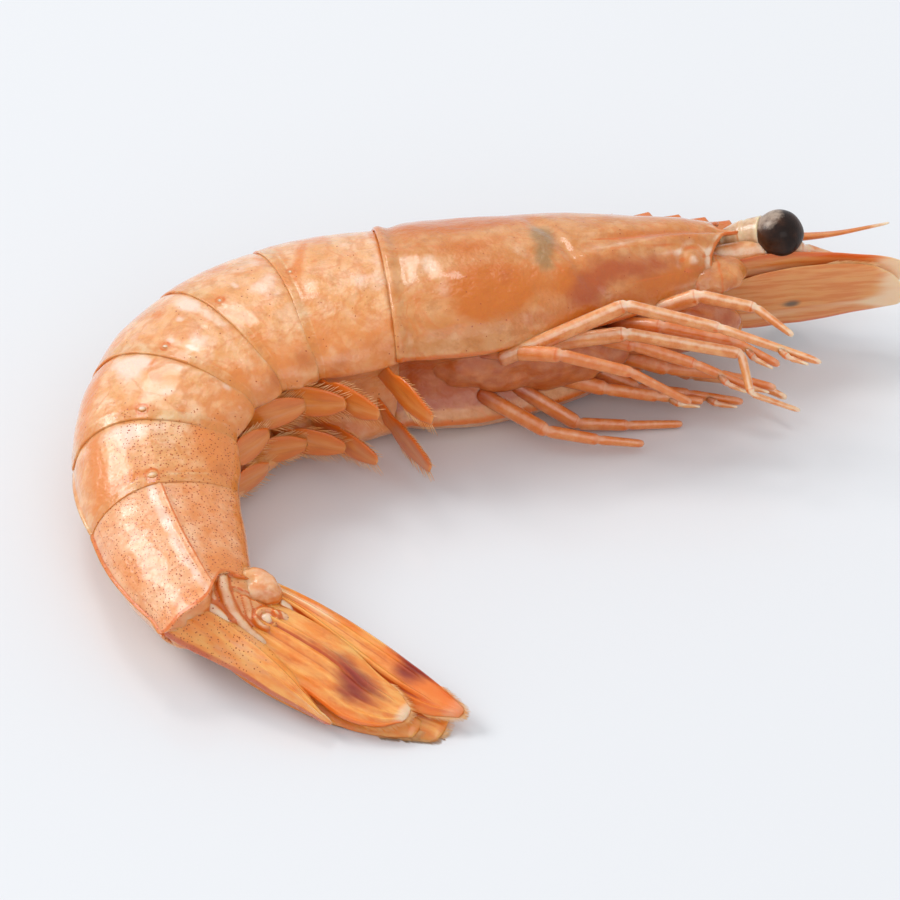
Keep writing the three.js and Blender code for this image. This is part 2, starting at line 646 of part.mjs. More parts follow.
// Parts of the head come in pairs, the right one above and the left one below.
function addHeadPair(name, hand) {
  const paired = ([f, u, w], midline = MIDLINE) => headPoint(f, u, midline + hand * w);
  const [f, u, w] = EYE.at;
  const eye = ball(paired([f - hand * EYE.stagger, u, w]), HEAD_AXES, EYE.radii, 14, 8);
  addPiece(`eye_${name}`, eye.geometry, COLOURS.eye, GLASSY);

  const stalk = EYESTALK.at.map((at, i) => [paired(at, 0), EYESTALK.radii[i]]);
  addPiece(`eyestalk_${name}`, trimmed(limb(stalk, 8), [shieldTool, eye.tool]), COLOURS.stalk);

  const base = ball(paired(ANTENNA_BASE.at), HEAD_AXES, ANTENNA_BASE.radii);
  addPiece(`antenna_base_${name}`, trimmed(base.geometry, [shieldTool, mouth.tool]), COLOURS.limb);

  const scaleFrame = {
    origin: headPoint(0, ANTENNA_SCALE.level + hand * ANTENNA_SCALE.stagger, ANTENNA_SCALE.midline),
    along: HEAD_FRAME.forward,
    across: HEAD_FRAME.side.clone().multiplyScalar(hand),
    normal: HEAD_FRAME.back,
  };
  const scale = trimmed(leaf(scaleFrame, ANTENNA_SCALE), [base.tool, shieldTool, eye.tool]);
  addPiece(`antenna_scale_${name}`, scale, COLOURS.fin);

  const bentLeft = ([forward]) => MIDLINE - ANTENNULE.lean * (forward - ANTENNULE.at[0][0]);
  const antennule = jointed(ANTENNULE.at.map((at) => paired(at, bentLeft(at))), ANTENNULE.radii);
  const antennuleTools = [shieldTool, base.tool, eye.tool, toSolid(limb(stalk, 8, CLEARANCE))];
  addPiece(`antennule_${name}`, trimmed(limb(antennule, 8), antennuleTools), COLOURS.limb);

  const feeler = jointed(MAXILLIPED.at.map((at) => paired(at, 0)), MAXILLIPED.radii);
  const feelerTools = [shieldTool, mouth.tool, base.tool];
  addPiece(`maxilliped_${name}`, trimmed(limb(feeler), feelerTools), COLOURS.limb);
}
addHeadPair('right', 1);
addHeadPair('left', -1);

// The movable finger of a claw, beside the last stretch of a leg.
function finger(from, to) {
  const way = to.clone().sub(from).normalize();
  const aside = way.clone().cross(HEAD_FRAME.side).normalize();
  const start = to.clone().addScaledVector(way, FINGER.start);
  const knuckle = start.clone().addScaledVector(way, FINGER.knuckle).addScaledVector(aside, FINGER.spread);
  const tip = start.clone().addScaledVector(way, FINGER.length).addScaledVector(aside, FINGER.spread);
  return toSolid(limb([start, knuckle, tip].map((place, i) => [place, FINGER.radii[i]]), 5));
}

for (const [name, legs] of Object.entries(LEGS)) {
  legs.forEach((at, i) => {
    const points = at.map((place) => headPoint(...place));
    const leg = toSolid(limb(jointed(points, LEG_RADII)));
    const whole = i < CLAWED_LEGS ? leg.add(finger(...points.slice(-2))) : leg;
    const free = trimmed(fromSolid(whole), [shieldTool, mouth.tool]);
    addPiece(`walking_leg_${i + 1}_${name}`, free, COLOURS.limb);
  });
}

// The frame of the swimmeret under plate number i: it leans forward and outward from the belly.
function swimmeretFrame(i, hand) {
  const { lean, sweep, station, depth, spread, closing } = SWIMMERET;
  const { frame, shape } = abdomenAt(i, station);
  const belly = frame.back.clone().negate();
  const forward = frame.tail.clone().negate();
  const along = belly
    .clone()
    .multiplyScalar(lean.belly)
    .addScaledVector(forward, lean.forward + sweep * (i - 1))
    .addScaledVector(frame.side, hand * lean.outward)
    .normalize();
  const normal = forward.clone().addScaledVector(along, -forward.dot(along)).normalize();
  const across = normal.clone().cross(along).multiplyScalar(hand);
  const origin = frame.origin
    .clone()
    .addScaledVector(belly, shape.ventral * depth)
    .addScaledVector(frame.side, hand * (spread - closing * (i - 1)));
  return { origin, along, across, normal };
}

const plateTools = Array.from({ length: PLATES }, (_, i) => toSolid(abdomenPlate(i + 1, CLEARANCE)));
const swimmeretTools = [];
for (let i = 1; i < PLATES; i++) {
  const size = SWIMMERET.length * (1 - SWIMMERET.shrink * i);
  const rows = SWIMMERET.rows.map(([share, ...rest]) => [share * size, ...rest]);
  for (const [name, hand] of [['right', 1], ['left', -1]]) {
    const frame = swimmeretFrame(i, hand);
    const blade = trimmed(leaf(frame, { ...SWIMMERET, rows }), [...plateTools, ...swimmeretTools]);
    addPiece(`swimmeret_${i}_${name}`, blade, COLOURS.belly);
    swimmeretTools.push(toSolid(leaf(frame, { ...SWIMMERET, rows }, CLEARANCE)));
  }
}

// The tail fin's frame: along it, across it towards its right edge, and up from its back.
function finFrame() {
  const { x, y, z } = FIN;
  const [heading, pitch] = [rad(FIN.heading), rad(FIN.pitch)];
  const flat = vec(Math.cos(heading), Math.sin(heading), 0);
  const along = flat.multiplyScalar(Math.cos(pitch)).addScaledVector(vec(0, 0, 1), Math.sin(pitch));
  const out = vec(Math.sin(heading), -Math.cos(heading), 0);
  const up = out.clone().cross(along).normalize();
  const roll = rad(FIN.roll);
  const normal = out.clone().multiplyScalar(Math.cos(roll)).addScaledVector(up, Math.sin(roll));
  const across = up.clone().multiplyScalar(Math.cos(roll)).addScaledVector(out, -Math.sin(roll));
  return { origin: vec(x, y, z), along, across, normal };
}
const FIN_FRAME = finFrame();
const FIN_AXES = [FIN_FRAME.along, FIN_FRAME.across, FIN_FRAME.normal];

const finTools = [last(plateTools)];
for (const [name, { at, radii }] of Object.entries(UROPOD_BASES)) {
  const base = ball(pointIn(FIN_FRAME.origin, FIN_AXES, at), FIN_AXES, radii);
  addPiece(`uropod_base_${name}`, trimmed(base.geometry, [last(plateTools)]), COLOURS.limb);
  finTools.push(base.tool);
}

function addFin(name, blade) {
  const geometry = leaf(FIN_FRAME, blade);
  const spot = geometry.getAttribute('position');
  for (let i = 0; i < spot.count; i++) spot.setZ(i, Math.max(spot.getZ(i), FIN_GAP));
  addPiece(name, trimmed(geometry, finTools), COLOURS.fin);
}
addFin('telson', TELSON);
finTools.push(toSolid(leaf(FIN_FRAME, TELSON, CLEARANCE)));
for (const [name, blade] of Object.entries(UROPODS)) addFin(name, blade);

// The origin is the middle of the object's footprint, on the table.
const box = new THREE.Box3().setFromObject(root);
root.position.set(-(box.min.x + box.max.x) / 2, -(box.min.y + box.max.y) / 2, -box.min.z);

export default root;
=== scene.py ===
"""Dresses a raw, whole prawn, lying on its left side and curled into a C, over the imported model.

Sizes are in millimetres, in the prawn's own plan; PLAN_SHIFT and MM turn that plan into the row's
frame. Each skin is a sphere of rings and sides whose points are moved into place, and each point
carries paint marks that the wet finishes read.
"""

import json
import logging
import math
import random
from collections.abc import Callable, Sequence
from dataclasses import dataclass, field, replace
from enum import Enum
from functools import lru_cache

import bmesh
import bpy
from mathutils import Matrix, Vector, noise

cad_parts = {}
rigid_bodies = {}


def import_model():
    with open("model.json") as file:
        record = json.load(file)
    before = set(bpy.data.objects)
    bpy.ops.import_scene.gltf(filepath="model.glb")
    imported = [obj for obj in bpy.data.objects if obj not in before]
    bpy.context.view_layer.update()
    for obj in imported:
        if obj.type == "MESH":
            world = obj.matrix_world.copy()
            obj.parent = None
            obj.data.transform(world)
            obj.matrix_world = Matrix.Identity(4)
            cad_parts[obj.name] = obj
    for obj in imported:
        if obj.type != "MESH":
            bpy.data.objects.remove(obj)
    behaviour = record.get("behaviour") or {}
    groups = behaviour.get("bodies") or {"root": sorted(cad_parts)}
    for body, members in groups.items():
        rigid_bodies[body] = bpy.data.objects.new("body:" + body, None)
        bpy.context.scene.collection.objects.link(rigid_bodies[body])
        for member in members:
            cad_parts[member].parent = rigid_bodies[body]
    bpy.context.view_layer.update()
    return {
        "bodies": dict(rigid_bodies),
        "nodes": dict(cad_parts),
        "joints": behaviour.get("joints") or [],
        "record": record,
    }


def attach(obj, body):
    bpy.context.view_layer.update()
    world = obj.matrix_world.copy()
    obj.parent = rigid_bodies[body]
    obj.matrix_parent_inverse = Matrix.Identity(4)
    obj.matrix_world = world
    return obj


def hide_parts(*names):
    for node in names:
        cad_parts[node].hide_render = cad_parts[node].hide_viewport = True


LOG = logging.getLogger("prawn")
MM = 0.001
PLAN_SHIFT = Vector((-4.6978, 8.23495, 0.0))
TABLE_GAP = 0.02  # how far the lowest skin stays above the table
Table = tuple[tuple[float, ...], ...]
Triple = tuple[float, float, float]
Skin = bmesh.types.BMesh
Socket = bpy.types.NodeSocket


class Slot(Enum):
    """A material slot of the record."""

    SHELL = "shell"
    LIMB = "limb"
    FIN = "fin"
    EYE = "eye"
    EYESTALK = "eyestalk"


class Hand(Enum):
    """A side of the prawn: its right side is up, its left side lies on the table."""

    RIGHT = 1
    LEFT = -1

    @property
    def label(self) -> str:
        """The hand's word in a piece's name."""
        return self.name.lower()


class Mark(Enum):
    """What is painted on a skin's points: shares from 0 to 1, and for the last two millimetres."""

    WARM = "warm"  # orange pigment
    PALE = "pale"  # milky flesh close under clear shell, and painted highlights and glints
    DARK = "dark"  # red-brown organs and stains, and painted shade in hollows, towards the belly and between the legs
    GREY = "grey"  # olive-grey organs under the shield; on the eye, a painted highlight
    DOTS = "dots"  # how many pigment dots there are
    LINE = "line"  # orange-brown seams and thickened edges
    ALONG = "along"
    ACROSS = "across"


WARM, PALE, DARK, GREY, DOTS, LINE, ALONG, ACROSS = Mark
Paint = dict[Mark, float]
Spot = tuple[Vector, Paint]


def lerp(a: float, b: float, share: float) -> float:
    """A value between a and b."""
    return a + (b - a) * share


def clamp(value: float, low: float = 0.0, high: float = 1.0) -> float:
    """A value kept between two limits."""
    return min(high, max(low, value))


def ease(value: float, start: float, end: float) -> float:
    """Rises smoothly from 0 at start to 1 at end."""
    share = clamp((value - start) / (end - start))
    return share * share * (3.0 - 2.0 * share)


def hump(value: float, centre: float, width: float) -> float:
    """A bell curve, 1 at its centre, that falls to about a third at its width."""
    return math.exp(-(((value - centre) / width) ** 2))


@dataclass(frozen=True)
class Patch:
    """A soft patch of one mark on a skin, in the skin's own along and across."""

    mark: Mark
    along: float
    across: float
    length: float
    width: float
    strength: float = 1.0
    slant: float = 0.0  # how far it moves along for each unit across


def patches(*groups: tuple[Mark | tuple[float, ...], ...]) -> tuple[Patch, ...]:
    """Lists patches mark by mark: each group is a mark, and then the numbers of its patches."""
    return tuple(Patch(mark, *numbers) for mark, *rows in groups for numbers in rows)


def painted(spots: Sequence[Patch], along: float, across: float) -> Paint:
    """Adds up the patches at a place of a skin.

    Args:
        spots: The skin's patches.
        along: Place along the skin.
        across: Place across it.

    Returns:
        The marks there.
    """
    paint: Paint = {}
    for patch in spots:
        middle = patch.along + patch.slant * (across - patch.across)
        value = hump(along, middle, patch.length) * hump(across, patch.across, patch.width)
        paint[patch.mark] = paint.get(patch.mark, 0.0) + patch.strength * value
    return paint


def added(paint: Paint, mark: Mark, value: float) -> None:
    """Adds to one mark of a paint."""
    paint[mark] = paint.get(mark, 0.0) + value


def through(rows: Table, key: float) -> list[float]:
    """Reads a table along smooth curves through its rows.

    Args:
        rows: Rows that start with their key, in rising order.
        key: Where to read the table.

    Returns:
        The values of all the columns after the key.
    """
    last = len(rows) - 1
    i = max(1, next((n for n, row in enumerate(rows) if row[0] >= key), last))
    before, after = rows[i - 1], rows[i]
    step = after[0] - before[0]
    share = clamp((key - before[0]) / step)
    values = []
    for column in range(1, len(before)):
        slopes = []
        for n in (i - 1, i):
            low, high = rows[max(0, n - 1)], rows[min(last, n + 1)]
            slopes.append((high[column] - low[column]) / (high[0] - low[0]) * step)
        a, b = before[column], after[column]
        square, cube = share * share, share**3
        values.append(
            a * (2 * cube - 3 * square + 1)
            + slopes[0] * (cube - 2 * square + share)
            + b * (3 * square - 2 * cube)
            + slopes[1] * (cube - square)
        )
    return values


def uneven(point: Vector, size: float, seed: float = 0.0) -> float:
    """Smooth noise from about -1 to 1, the same in each run, with waves of a size in millimetres."""
    return noise.noise(point / size + Vector((seed, seed * 1.7, -seed)))


@dataclass(frozen=True)
class Frame:
    """A place on the prawn with three directions: along it, towards its back, and to its right."""

    origin: Vector
    along: Vector
    back: Vector
    side: Vector

    def at(self, along: float, back: float, side: float) -> Vector:
        """A point at three distances from the frame's origin."""
        return self.origin + self.along * along + self.back * back + self.side * side


def pressed(point: Vector) -> Vector:
    """Lifts a point that would be under the table."""
    return Vector((point.x, point.y, max(point.z, TABLE_GAP)))


def cast_skin(rings: int, sides: int, place: Callable[[int, int], Spot]) -> Skin:
    """Makes a closed skin from a sphere whose points are moved into place.

    Args:
        rings: Number of rings between the two end points.
        sides: Number of points in a ring.
        place: Gives the spot of a point from its ring and side; ring 0 and ring rings + 1 are the ends.

    Returns:
        The skin, with its paint in point layers.
    """
    mesh = bmesh.new()
    bmesh.ops.create_uvsphere(mesh, u_segments=sides, v_segments=rings + 1, radius=1.0)
    layers = {mark: mesh.verts.layers.float.new(mark.value) for mark in Mark}
    for vert in mesh.verts:
        ring = round(math.acos(clamp(vert.co.z, -1.0, 1.0)) / math.pi * (rings + 1))
        side = round(math.atan2(vert.co.y, vert.co.x) / math.tau * sides) % sides
        point, paint = place(ring, side)
        vert.co = point
        for mark, value in paint.items():
            vert[layers[mark]] = value
    bmesh.ops.recalc_face_normals(mesh, faces=mesh.faces)
    return mesh


def join(meshes: Sequence[Skin]) -> Skin:
    """Joins several skins into the first one.

    Args:
        meshes: The skins; all but the first are freed.

    Returns:
        The first skin with the others in it.
    """
    whole = meshes[0]
    for mesh in meshes[1:]:
        loose = bpy.data.meshes.new("loose")
        mesh.to_mesh(loose)
        mesh.free()
        whole.from_mesh(loose)
        bpy.data.meshes.remove(loose)
    return whole


# Finishes: how each skin takes light and colour.


def linear(code: str) -> tuple[float, ...]:
    """Turns an sRGB hex value into a linear colour, with an alpha of 1."""
    parts = [int(code[n : n + 2], 16) / 255 for n in (1, 3, 5)]
    return (*(p / 12.92 if p <= 0.04045 else ((p + 0.055) / 1.055) ** 2.4 for p in parts), 1.0)


@dataclass
class Graph:
    """The node tree of one material."""

    material: bpy.types.Material

    def add(self, kind: str, inputs: dict[str | int, object], **settings: object) -> bpy.types.Node:
        """Adds a node with its settings and links.

        Args:
            kind: The node's type.
            inputs: A value, or another node's output, for each input named or numbered.
            **settings: The node's own properties.

        Returns:
            The new node.
        """
        tree = self.material.node_tree
        node = tree.nodes.new(kind)
        for key, value in settings.items():
            setattr(node, key, value)
        for key, value in inputs.items():
            if isinstance(value, Socket):
                tree.links.new(value, node.inputs[key])
            else:
                node.inputs[key].default_value = value
        return node


MIX_FACTOR, MIX_A, MIX_B, MIX_RESULT = 0, 6, 7, 2  # sockets of a colour Mix node


def start_graph(name: str) -> Graph:
    """Makes an empty material and its graph.

    Args:
        name: Its name.

    Returns:
        The new material's graph.
    """
    material = bpy.data.materials.new(name)
    material.use_nodes = True
    material.node_tree.nodes.clear()
    return Graph(material)


@dataclass(frozen=True)
class Layer:
    """One painted mark as a coloured layer with a ragged edge."""

    mark: Mark
    colour: str
    grain: float = 1.2  # mm
    ragged: float = 0.5
    low: float = 0.3
    high: float = 1.0
    strength: float = 1.0


@dataclass(frozen=True)
class WetChitin:
    """Wet, half-clear shell over pale flesh.

    Light goes in and comes out softened, so colours glow instead of lying on top, and the film of
    water gives it a second, sharper gloss that breaks up over the uneven surface.
    """

    name: str
    base: str
    cloud: str
    layers: tuple[Layer, ...]
    cloud_mm: float = 3.5
    streak: float = 0.0  # 0 for clouds; else how much shorter than its length a streak is
    cell_mm: float = 3.0
    cell: float = 0.0  # how clearly the muscle under the shell shows as pale cells
    cell_colour: str = "#fbdccb"
    vein: float = 0.0  # how clearly soft orange wrinkles show
    vein_colour: str = "#d9701f"
    mottle: float = 0.0  # how clearly fine brown mottling shows
    mottle_colour: str = "#cf7f3c"
    mottle_mm: float = 1.3
    dots: str = "#b24c0a"
    dot_spacing: float = 0.28  # mm, as the real pigment dots; they are drawn 0.15 mm wide to show
    dot_radius: float = 0.28  # as a share of the spacing
    roughness: float = 0.3
    glow: float = 0.5  # share of light that goes through the flesh
    depth: Triple = (0.9, 0.5, 0.3)  # mm that red, green and blue light go
    coat: float = 1.0
    coat_roughness: float = 0.1
    bump_mm: float = 1.9
    bump: float = 0.3  # mm
    grain: float = 0.06  # mm

    def coordinates(self, graph: Graph) -> Socket:
        """Coordinates in millimetres: the object's, or the blade's own along and across.

        Args:
            graph: The material's graph.

        Returns:
            The output to link.
        """
        if self.streak <= 0:
            place = graph.add("ShaderNodeTexCoord", {})
            scaled = {0: place.outputs["Object"], "Scale": 1 / MM}
            return graph.add("ShaderNodeVectorMath", scaled, operation="SCALE").outputs[0]
        marks = []
        for mark in (ALONG, ACROSS):
            marks.append(graph.add("ShaderNodeAttribute", {}, attribute_name=mark.value).outputs["Fac"])
        shorter = {0: marks[0], 1: self.streak}
        along = graph.add("ShaderNodeMath", shorter, operation="MULTIPLY").outputs[0]
        return graph.add("ShaderNodeCombineXYZ", {"X": along, "Y": marks[1]}).outputs[0]

    def masks(self, graph: Graph, place: Socket) -> list[tuple[dict[str, object], str]]:
        """Lists where each colour lies over the ones before it.

        Args:
            graph: The material's graph.
            place: Coordinates in millimetres.

        Returns:
            The soft edge of each mask, and its colour's hex value.
        """
        clouds = {"Vector": place, "Scale": 1 / self.cloud_mm, "Detail": 4.0, "Roughness": 0.55}
        cloud = graph.add("ShaderNodeTexNoise", clouds).outputs["Fac"]
        masks = [({"Value": cloud, "From Min": 0.36, "From Max": 0.64}, self.cloud)]
        if self.cell > 0:
            bends = {"Vector": place, "Scale": 0.5 / self.cell_mm, "Detail": 2.0}
            bend = graph.add("ShaderNodeTexNoise", bends).outputs["Color"]
            bent = {0: bend, 1: (2.4 * self.cell_mm,) * 3, 2: place}
            moved = graph.add("ShaderNodeVectorMath", bent, operation="MULTIPLY_ADD").outputs[0]
            cells = {"Vector": moved, "Scale": 1 / self.cell_mm, "Randomness": 0.9}
            gap = graph.add("ShaderNodeTexVoronoi", cells, feature="DISTANCE_TO_EDGE").outputs["Distance"]
            ends = {"Value": gap, "From Min": 0.04, "From Max": 0.32, "To Max": self.cell}
            masks.append((ends, self.cell_colour))
        if self.vein > 0:
            folds = {"Vector": place, "Scale": 0.8 / self.cell_mm, "Detail": 4.0, "Distortion": 0.6}
            fold = graph.add("ShaderNodeTexNoise", folds).outputs["Fac"]
            off = graph.add("ShaderNodeMath", {0: fold, 1: 0.5}, operation="SUBTRACT").outputs[0]
            gap = graph.add("ShaderNodeMath", {0: off}, operation="ABSOLUTE").outputs[0]
            ends = {"Value": gap, "From Min": 0.0, "From Max": 0.06, "To Min": self.vein, "To Max": 0.0}
            masks.append((ends, self.vein_colour))
        if self.mottle > 0:
            specks = {"Vector": place, "Scale": 1 / self.mottle_mm, "Detail": 5.0, "Roughness": 0.7}
            speck = graph.add("ShaderNodeTexNoise", specks).outputs["Fac"]
            ends = {"Value": speck, "From Min": 0.48, "From Max": 0.7, "To Max": self.mottle}
            masks.append((ends, self.mottle_colour))
        for layer in self.layers:
            mark = graph.add("ShaderNodeAttribute", {}, attribute_name=layer.mark.value).outputs["Fac"]
            ragged = {"Vector": place, "Scale": 1 / layer.grain, "Detail": 3.0}
            edge = graph.add("ShaderNodeTexNoise", ragged).outputs["Fac"]
            centred = {0: edge, 1: layer.ragged, 2: -layer.ragged / 2}
            shift = graph.add("ShaderNodeMath", centred, operation="MULTIPLY_ADD").outputs[0]
            level = graph.add("ShaderNodeMath", {0: mark, 1: shift}, operation="ADD").outputs[0]
            ends = {"Value": level, "From Min": layer.low, "From Max": layer.high}
            masks.append(({**ends, "To Max": layer.strength}, layer.colour))
        return masks

    def tint(self, graph: Graph, place: Socket) -> Socket:
        """Lays all the colours over the shell's base.

        Args:
            graph: The material's graph.
            place: Coordinates in millimetres.

        Returns:
            The colour of the shell.
        """
        colour: object = linear(self.base)
        for ends, code in self.masks(graph, place):
            share = graph.add("ShaderNodeMapRange", ends, interpolation_type="SMOOTHSTEP").outputs[0]
            mixed = {MIX_FACTOR: share, MIX_A: colour, MIX_B: linear(code)}
            colour = graph.add("ShaderNodeMix", mixed, data_type="RGBA").outputs[MIX_RESULT]
        return self.dotted(graph, colour)

    def dotted(self, graph: Graph, colour: Socket) -> Socket:
        """Scatters pigment dots over a colour, as many as the shell's own mark says.

        Args:
            graph: The material's graph.
            colour: The colour under them.

        Returns:
            The output to link.
        """
        place = graph.add("ShaderNodeTexCoord", {}).outputs["Object"]
        cells = {"Vector": place, "Scale": 1 / (self.dot_spacing * MM), "Randomness": 0.85}
        cell = graph.add("ShaderNodeTexVoronoi", cells)
        kept = graph.add("ShaderNodeAttribute", {}, attribute_name=DOTS.value).outputs["Fac"]
        pick = graph.add("ShaderNodeSeparateColor", {"Color": cell.outputs["Color"]})
        size = {0: pick.outputs[1], 1: 0.6 * self.dot_radius, 2: 0.55 * self.dot_radius}
        radius = graph.add("ShaderNodeMath", size, operation="MULTIPLY_ADD").outputs[0]
        sides = {0: cell.outputs["Distance"], 1: radius}
        inside = graph.add("ShaderNodeMath", sides, operation="LESS_THAN").outputs[0]
        chosen = {0: pick.outputs[0], 1: kept}
        shown = graph.add("ShaderNodeMath", chosen, operation="LESS_THAN").outputs[0]
        both = graph.add("ShaderNodeMath", {0: inside, 1: shown}, operation="MULTIPLY").outputs[0]
        mixed = {MIX_FACTOR: both, MIX_A: colour, MIX_B: linear(self.dots)}
        return graph.add("ShaderNodeMix", mixed, data_type="RGBA").outputs[MIX_RESULT]

    def relief(self, graph: Graph, place: Socket) -> Socket:
        """Uneven swellings and a fine grain that break up the gloss.

        Args:
            graph: The material's graph.
            place: Coordinates in millimetres.

        Returns:
            The output to link.
        """
        normal = None
        for size, height in ((self.bump_mm, self.bump), (self.bump_mm / 4, self.grain)):
            waves = {"Vector": place, "Scale": 1 / size, "Detail": 3.0}
            wave = graph.add("ShaderNodeTexNoise", waves).outputs["Fac"]
            raised: dict[str | int, object] = {"Height": wave, "Distance": height * MM, "Strength": 1.0}
            if normal is not None:
                raised["Normal"] = normal
            normal = graph.add("ShaderNodeBump", raised).outputs["Normal"]
        return normal

    def material(self) -> bpy.types.Material:
        """Builds the material.

        Returns:
            The material.
        """
        graph = start_graph(self.name)
        place = self.coordinates(graph)
        shader = {
            "Base Color": self.tint(graph, place),
            "Roughness": self.roughness,
            "IOR": 1.45,
            "Subsurface Weight": self.glow,
            "Subsurface Radius": self.depth,
            "Subsurface Scale": MM,
            "Coat Weight": self.coat,
            "Coat Roughness": self.coat_roughness,
            "Coat IOR": 1.33,
            "Normal": self.relief(graph, place),
        }
        surface = graph.add("ShaderNodeBsdfPrincipled", shader).outputs[0]
        graph.add("ShaderNodeOutputMaterial", {"Surface": surface})
        return graph.material


@dataclass(frozen=True)
class EyeTintAndHighlight:
    """A colour laid over the eye, thicker where its mark is painted: a brown tint, and for the grey one a
    painted highlight.
    """

    mark: Mark
    colour: str
    size: float  # mm
    detail: float
    roughness: float
    low: float
    high: float
    strength: float


@dataclass(frozen=True)
class Cornea:
    """The eye's wet, faceted cornea: nearly black with a brown depth, a painted highlight on its upper side,
    and a net of facets.

    The real facets are about 0.05 mm; they are drawn 0.22 mm wide so that they show.
    """

    name: str = "wet_cornea"
    base: str = "#1c0c06"
    facet: float = 0.22  # mm
    tints_and_highlight: tuple[EyeTintAndHighlight, ...] = (
        EyeTintAndHighlight(PALE, "#6a4028", 1.6, 3.0, 0.5, 0.35, 1.25, 1.0),
        # The grey one is a painted highlight on the eye's upper side.
        EyeTintAndHighlight(GREY, "#b8a290", 0.9, 4.0, 0.65, 0.85, 1.4, 0.85),
    )

    def material(self) -> bpy.types.Material:
        """Builds the material.

        Returns:
            The material.
        """
        graph = start_graph(self.name)
        place = graph.add("ShaderNodeTexCoord", {}).outputs["Object"]
        colour: object = linear(self.base)
        for tint_and_highlight in self.tints_and_highlight:
            waves = {"Vector": place, "Scale": 1 / (tint_and_highlight.size * MM), "Detail": tint_and_highlight.detail}
            waves["Roughness"] = tint_and_highlight.roughness
            wave = graph.add("ShaderNodeTexNoise", waves).outputs["Fac"]
            mark = graph.add("ShaderNodeAttribute", {}, attribute_name=tint_and_highlight.mark.value).outputs["Fac"]
            level = graph.add("ShaderNodeMath", {0: wave, 1: mark}, operation="ADD").outputs[0]
            ends = {"Value": level, "From Min": tint_and_highlight.low, "From Max": tint_and_highlight.high, "To Max": tint_and_highlight.strength}
            share = graph.add("ShaderNodeMapRange", ends, interpolation_type="SMOOTHSTEP").outputs[0]
            mixed = {MIX_FACTOR: share, MIX_A: colour, MIX_B: linear(tint_and_highlight.colour)}
            colour = graph.add("ShaderNodeMix", mixed, data_type="RGBA").outputs[MIX_RESULT]
        cells = {"Vector": place, "Scale": 1 / (self.facet * MM), "Randomness": 0.3}
        cell = graph.add("ShaderNodeTexVoronoi", cells).outputs["Distance"]
        raised = {"Height": cell, "Distance": 0.03 * MM, "Strength": 0.5}
        shader = {
            "Base Color": colour,
            "Roughness": 0.42,
            "IOR": 1.45,
            "Specular IOR Level": 0.18,
            "Coat Weight": 0.3,
            "Coat Roughness": 0.12,
            "Coat IOR": 1.36,
            "Normal": graph.add("ShaderNodeBump", raised).outputs["Normal"],
        }
        surface = graph.add("ShaderNodeBsdfPrincipled", shader).outputs[0]
        graph.add("ShaderNodeOutputMaterial", {"Surface": surface})
        return graph.material


Finish = WetChitin | Cornea

BODY_SHELL = WetChitin(
    name="wet_body_shell", base="#eaa361", cloud="#f2b985", cell=0.4, cell_colour="#f6caa6",
    vein=0.35, mottle=0.55, mottle_colour="#d08a4a",
    layers=(
        Layer(PALE, "#fad6bf", grain=1.6, ragged=0.9, high=0.95),
        Layer(WARM, "#e58a40", grain=1.3, ragged=0.9),
        Layer(DARK, "#cf7430", grain=1.6, ragged=0.7),
        Layer(LINE, "#dd7018", grain=0.8, ragged=0.3, low=0.35, high=0.8),
    ),
)
LAST_PLATE_SHELL = replace(
    BODY_SHELL,
    name="wet_last_plate_shell", base="#eea56c", cloud="#f4bb8e", cell=0.15, mottle=0.4,
    mottle_colour="#dd9660",
)
HEAD_SHELL = WetChitin(
    name="wet_head_shell", base="#d3863f", cloud="#e09d60", cloud_mm=3.2, cell=0.3,
    cell_colour="#ebb686", vein=0.35, mottle=0.5, mottle_colour="#bd7232",
    layers=(
        Layer(PALE, "#f5d0b2", grain=1.6, ragged=0.8, high=0.95),
        Layer(WARM, "#cf6e08", grain=1.6, ragged=0.8),
        Layer(GREY, "#92703f", grain=1.4, ragged=0.6, strength=0.75),
        Layer(DARK, "#b95614", grain=1.8, ragged=0.8),
        Layer(LINE, "#d96f1c", grain=0.9, ragged=0.35, low=0.35, high=0.8),
    ),
    roughness=0.34,
)
LIMB_SHELL = WetChitin(
    name="wet_limb_shell", base="#df8740", cloud="#eca96c", cloud_mm=1.6, mottle=0.35,
    mottle_colour="#c8682c", mottle_mm=0.9,
    layers=(
        Layer(PALE, "#f4d0b0", grain=0.8, high=0.9),
        Layer(WARM, "#dd7426", grain=0.9),
        Layer(DARK, "#ad4e20", grain=1.2),
        Layer(LINE, "#dc6c18", grain=0.7, ragged=0.3, low=0.35, high=0.8),
    ),
    bump_mm=0.7, bump=0.07, grain=0.012,
)
BLADE_LAYERS = (
    Layer(PALE, "#fad2ac", grain=0.8, ragged=0.6, high=0.9),
    Layer(WARM, "#f07a26", grain=0.9, ragged=0.6),
    Layer(DARK, "#9c3522", grain=1.5, ragged=1.0),
    Layer(LINE, "#c9541a", grain=0.6, ragged=0.3, low=0.35, high=0.8),
)
TAIL_BLADE = WetChitin(
    name="wet_tail_blade", base="#f2913a", cloud="#f8b05e", cloud_mm=1.0, streak=0.3, mottle=0.4,
    mottle_colour="#cf5f24", mottle_mm=0.8,
    layers=BLADE_LAYERS,
    roughness=0.26, bump_mm=0.7, bump=0.05, grain=0.012, depth=(0.8, 0.45, 0.25),
)
SCALE_BLADE = WetChitin(
    name="wet_scale_blade", base="#e0863f", cloud="#efa963", cloud_mm=0.6, mottle=0.35,
    mottle_colour="#c8743a", mottle_mm=0.6, streak=0.1,
    layers=(
        Layer(PALE, "#f6cfa6", grain=0.8, ragged=0.6, high=0.9),
        Layer(WARM, "#e06e22", grain=0.9, ragged=0.6),
        Layer(DARK, "#77604a", grain=1.1, ragged=0.7),
        Layer(LINE, "#cf4f18", grain=0.6, ragged=0.3, low=0.35, high=0.8),
    ),
    bump_mm=0.6, bump=0.05, grain=0.012, depth=(0.8, 0.5, 0.3),
)
